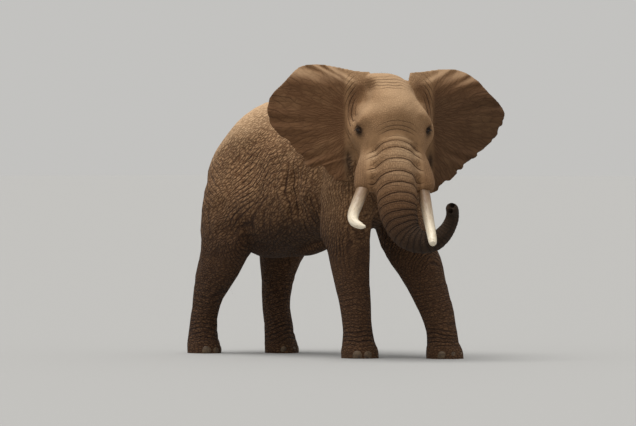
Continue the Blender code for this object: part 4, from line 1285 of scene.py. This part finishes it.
def hairs(name, roots, ways, lengths, radius, hang, seats, seed):
    """Tapered four-sided tubes that leave their roots along given ways and bend towards the ground.

    The point at a share t of a hair is root + way t length, less hang t^2 length in height. Each hair's faces
    lie in a patch at its seat on the unwrap.
    """
    chance = np.random.default_rng(seed)
    count, steps, patch, stray, taper = len(roots), 7, 0.003, 0.05, 0.8
    t = np.linspace(0, 1, steps)[None, :, None]
    sideways = chance.normal(0, stray, (count, 3))[:, None]
    bend = unit(ways)[:, None] * t + sideways * t**2 - UP * hang * t**2
    line = roots[:, None] + lengths[:, None, None] * bend
    way = unit(np.gradient(line, axis=1))
    u = unit(np.cross(way, (0.31, 0.17, 0.93)))
    v = np.cross(way, u)
    turn = np.arange(4)[:, None] * math.pi / 2
    thick = (radius * (1 - taper * t**2))[..., None]
    tube = line[:, :, None] + thick * (u[:, :, None] * np.cos(turn) + v[:, :, None] * np.sin(turn))
    number = np.arange(count * steps * 4).reshape(count, steps, 4)
    low, up = number[:, :-1], number[:, 1:]
    sides = np.stack([low, np.roll(low, -1, 2), np.roll(up, -1, 2), up], axis=-1).reshape(-1, 4)
    faces = np.vstack([sides, number[:, 0, ::-1], number[:, -1]])
    obj = piece(name, tube.reshape(-1, 3), faces.tolist())
    spread = np.stack(np.broadcast_arrays(np.arange(4) / 3, t), axis=-1)
    seat = (seats[:, None, None] + patch * (spread - 0.5)).reshape(-1, 2)
    corner = np.empty(len(obj.data.loops), np.int32)
    obj.data.loops.foreach_get("vertex_index", corner)
    layer = obj.data.uv_layers.new(name="OFBake")
    layer.data.foreach_set("uv", seat[corner].astype(np.float32).ravel())
    return obj


def unwrapped(points):
    """Places on an unwrap of the skin: the turn round the body's long axis, and the length along it."""
    margin, rear, length, middle = 0.02, 2.7, 4.8, 2.0
    turn = np.arctan2(points[:, 0], points[:, 2] - middle) / (2 * math.pi) + 0.5
    return margin + (1 - 2 * margin) * np.stack([turn, (points[:, 1] + rear) / length], axis=1)


def tuft(chance):
    """The tail's tuft: hairs rooted in two rows down its last third, thickest at its end."""
    count, samples = sizes().tail_hairs, 400
    line = smooth_rows(TAIL, samples)
    share = 1 - 0.30 * chance.random(count) ** 1.8
    at = line[(share * (samples - 1)).astype(int)]
    turn = np.where(chance.random(count) < 0.5, 0.5, 1.5) * math.pi + chance.normal(0, 0.75, count)
    out = np.stack([np.cos(turn), np.sin(turn), 0 * turn], axis=1)
    roots = at[:, :3] + out * (at[:, 3] * 0.9)[:, None]
    ways = out * 0.16 - UP + chance.normal(0, 0.05, (count, 3))
    lengths = 0.20 + 0.20 * chance.random(count)
    return hairs("tail_hair", roots, ways, lengths, 0.0013, 0.1, unwrapped(roots), 6)


def lashes(chance, name, side):
    """An eye's lashes: down the upper lid's edge, sweeping outwards and down."""
    count, clear = 70, 0.002
    centre, gaze, ahead, over = eye_axes(side)
    along = np.linspace(-0.95, 0.95, count)
    a = LID[0] * along
    b = LID[1] * np.sqrt(1 - along**2) - LID_SLOPE * a + clear
    roots = centre + a[:, None] * ahead + b[:, None] * over + lid_dome(np.hypot(a, b))[:, None] * gaze
    ways = gaze + over * -0.15 + along[:, None] * 0.5 * ahead + chance.normal(0, 0.08, (count, 3))
    lengths = 0.030 + 0.025 * chance.random(count)
    return hairs("lashes_" + name, roots, ways, lengths, 0.0005, 0.55, unwrapped(roots), 8)


def bristles(chance):
    """Bristles on the crown, chin, back and trunk: on skin points picked by region, leaning back and down."""
    skin = bpy.data.objects["skin"].data
    points, normals = read_points(skin) - PLACE, read_normals(skin)
    left, forward, up = head_coordinates(points).T
    crown = (up > 0.45) & (np.abs(left) < 0.3) & (forward > -0.4)
    chin = (up < -0.5) & (up > -1.0) & (np.abs(left) < 0.25) & (forward > -0.1) & (normals[:, 2] < 0.2)
    ridge = (points[:, 2] > 2.85) & (np.abs(points[:, 0]) < 0.25) & (points[:, 1] > -0.9)
    trunk = (forward > 0.3) & (up < -0.3) & (np.abs(left) < 0.8)
    chosen = np.concatenate([chance.choice(np.flatnonzero(region), count)
                             for region, count in ((crown, 220), (chin, 200), (ridge, 160), (trunk, 90))])
    roots, facing = points[chosen], normals[chosen]
    # Each root strays over the skin from its point. The hairs start a little under the surface.
    stray = chance.normal(0, 0.008, facing.shape)
    roots = roots + stray - facing * np.sum(stray * facing, axis=1)[:, None]
    ways = facing + np.array([0, 0.5, -0.2]) + chance.normal(0, 0.25, facing.shape)
    lengths = 0.012 + 0.018 * chance.random(len(roots))
    return hairs("bristles", roots - 0.002 * facing, ways, lengths, 0.0003, 0.15, unwrapped(roots), 9)


class ELEPHANT_OT_hair(bpy.types.Operator):
    """The tail's tuft, the eyelashes, and the bristles on the crown, back, chin and trunk"""

    bl_idname = "elephant.hair"
    bl_label = "Hair"

    def execute(self, context):
        chance = np.random.default_rng(5)
        finish = hair_material()
        made = [(tuft(chance), ("tail_tuft",))]
        made += [(lashes(chance, name, side), ()) for name, side in SIDES]
        made.append((bristles(chance), ()))
        for obj, nodes in made:
            placed(obj)
            obj.data.materials.append(finish)
            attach(obj, "root")
            if nodes:
                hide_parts(*nodes)
        return {"FINISHED"}


class ELEPHANT_OT_stage(bpy.types.Operator):
    """Pale floor, soft light and the camera"""

    bl_idname = "elephant.stage"
    bl_label = "Stage"

    def execute(self, context):
        scene = context.scene
        far = 400.0
        corners = [(-far, -far, 0.0), (far, -far, 0.0), (far, far, 0.0), (-far, far, 0.0)]
        floor = piece("floor", np.array(corners), [[0, 1, 2, 3]])
        made, _, shader = material("pale_studio_floor")
        shader.inputs["Base Color"].default_value = linear("A8A8A7")
        shader.inputs["Roughness"].default_value = 0.9
        floor.data.materials.append(made)

        world = bpy.data.worlds.new("studio")
        world.use_nodes = True
        world.node_tree.nodes["Background"].inputs["Color"].default_value = linear("FCFBF8")
        world.node_tree.nodes["Background"].inputs["Strength"].default_value = 0.56
        scene.world = world

        # A broad light from overhead, a little to the animal's right.
        light = bpy.data.lights.new("overhead", "SUN")
        light.angle, light.energy, light.color = math.radians(50), 2.6, (1.0, 0.98, 0.95)
        lamp = bpy.data.objects.new("overhead", light)
        lamp.rotation_euler = Vector((-0.25, 0.05, 1.0)).to_track_quat("Z", "Y").to_euler()
        scene.collection.objects.link(lamp)

        # A long lens far off to the animal's front right, a little lower than its eyes.
        turn, drop = math.radians(46), math.radians(0.606)
        aside, away, height = 0.1165, 70.81, 2.5
        right = Vector((math.cos(turn), -math.sin(turn), 0))
        ahead = Vector((math.sin(turn), math.cos(turn), 0))
        camera = bpy.data.cameras.new("camera")
        camera.lens, camera.clip_end = 326.5, 1000
        eye = bpy.data.objects.new("camera", camera)
        eye.location = Vector(PLACE) - right * aside - ahead * away + Vector((0, 0, height))
        eye.rotation_euler = (math.pi / 2 - drop, 0, -turn)
        scene.collection.objects.link(eye)
        scene.camera = eye
        scene.view_settings.view_transform = "Standard"
        return {"FINISHED"}


class ELEPHANT_PT_panel(bpy.types.Panel):
    """The elephant's sizes and pieces"""

    bl_idname = "ELEPHANT_PT_panel"
    bl_label = "Elephant"
    bl_space_type = "VIEW_3D"
    bl_region_type = "UI"
    bl_category = "Elephant"

    def draw(self, context):
        for name in ElephantSizes.__annotations__:
            self.layout.prop(context.scene.elephant, name)
        for operator in OPERATORS:
            self.layout.operator(operator.bl_idname)


OPERATORS = (ELEPHANT_OT_stage, ELEPHANT_OT_skin, ELEPHANT_OT_eyes, ELEPHANT_OT_tusks, ELEPHANT_OT_toenails,
             ELEPHANT_OT_hair)
CLASSES = (ElephantSizes, *OPERATORS, ELEPHANT_PT_panel)


def register():
    """Registers the classes and gives the scene its sizes."""
    for made in CLASSES:
        bpy.utils.register_class(made)
    bpy.types.Scene.elephant = bpy.props.PointerProperty(type=ElephantSizes)


def unregister():
    """Takes back what register does."""
    del bpy.types.Scene.elephant
    for made in reversed(CLASSES):
        bpy.utils.unregister_class(made)


def main():
    """Makes the stage and every piece."""
    register()
    bpy.ops.elephant.stage()
    bpy.ops.elephant.skin()
    bpy.ops.elephant.eyes()
    bpy.ops.elephant.tusks()
    bpy.ops.elephant.toenails()
    bpy.ops.elephant.hair()


if __name__ == "__main__":
    main()
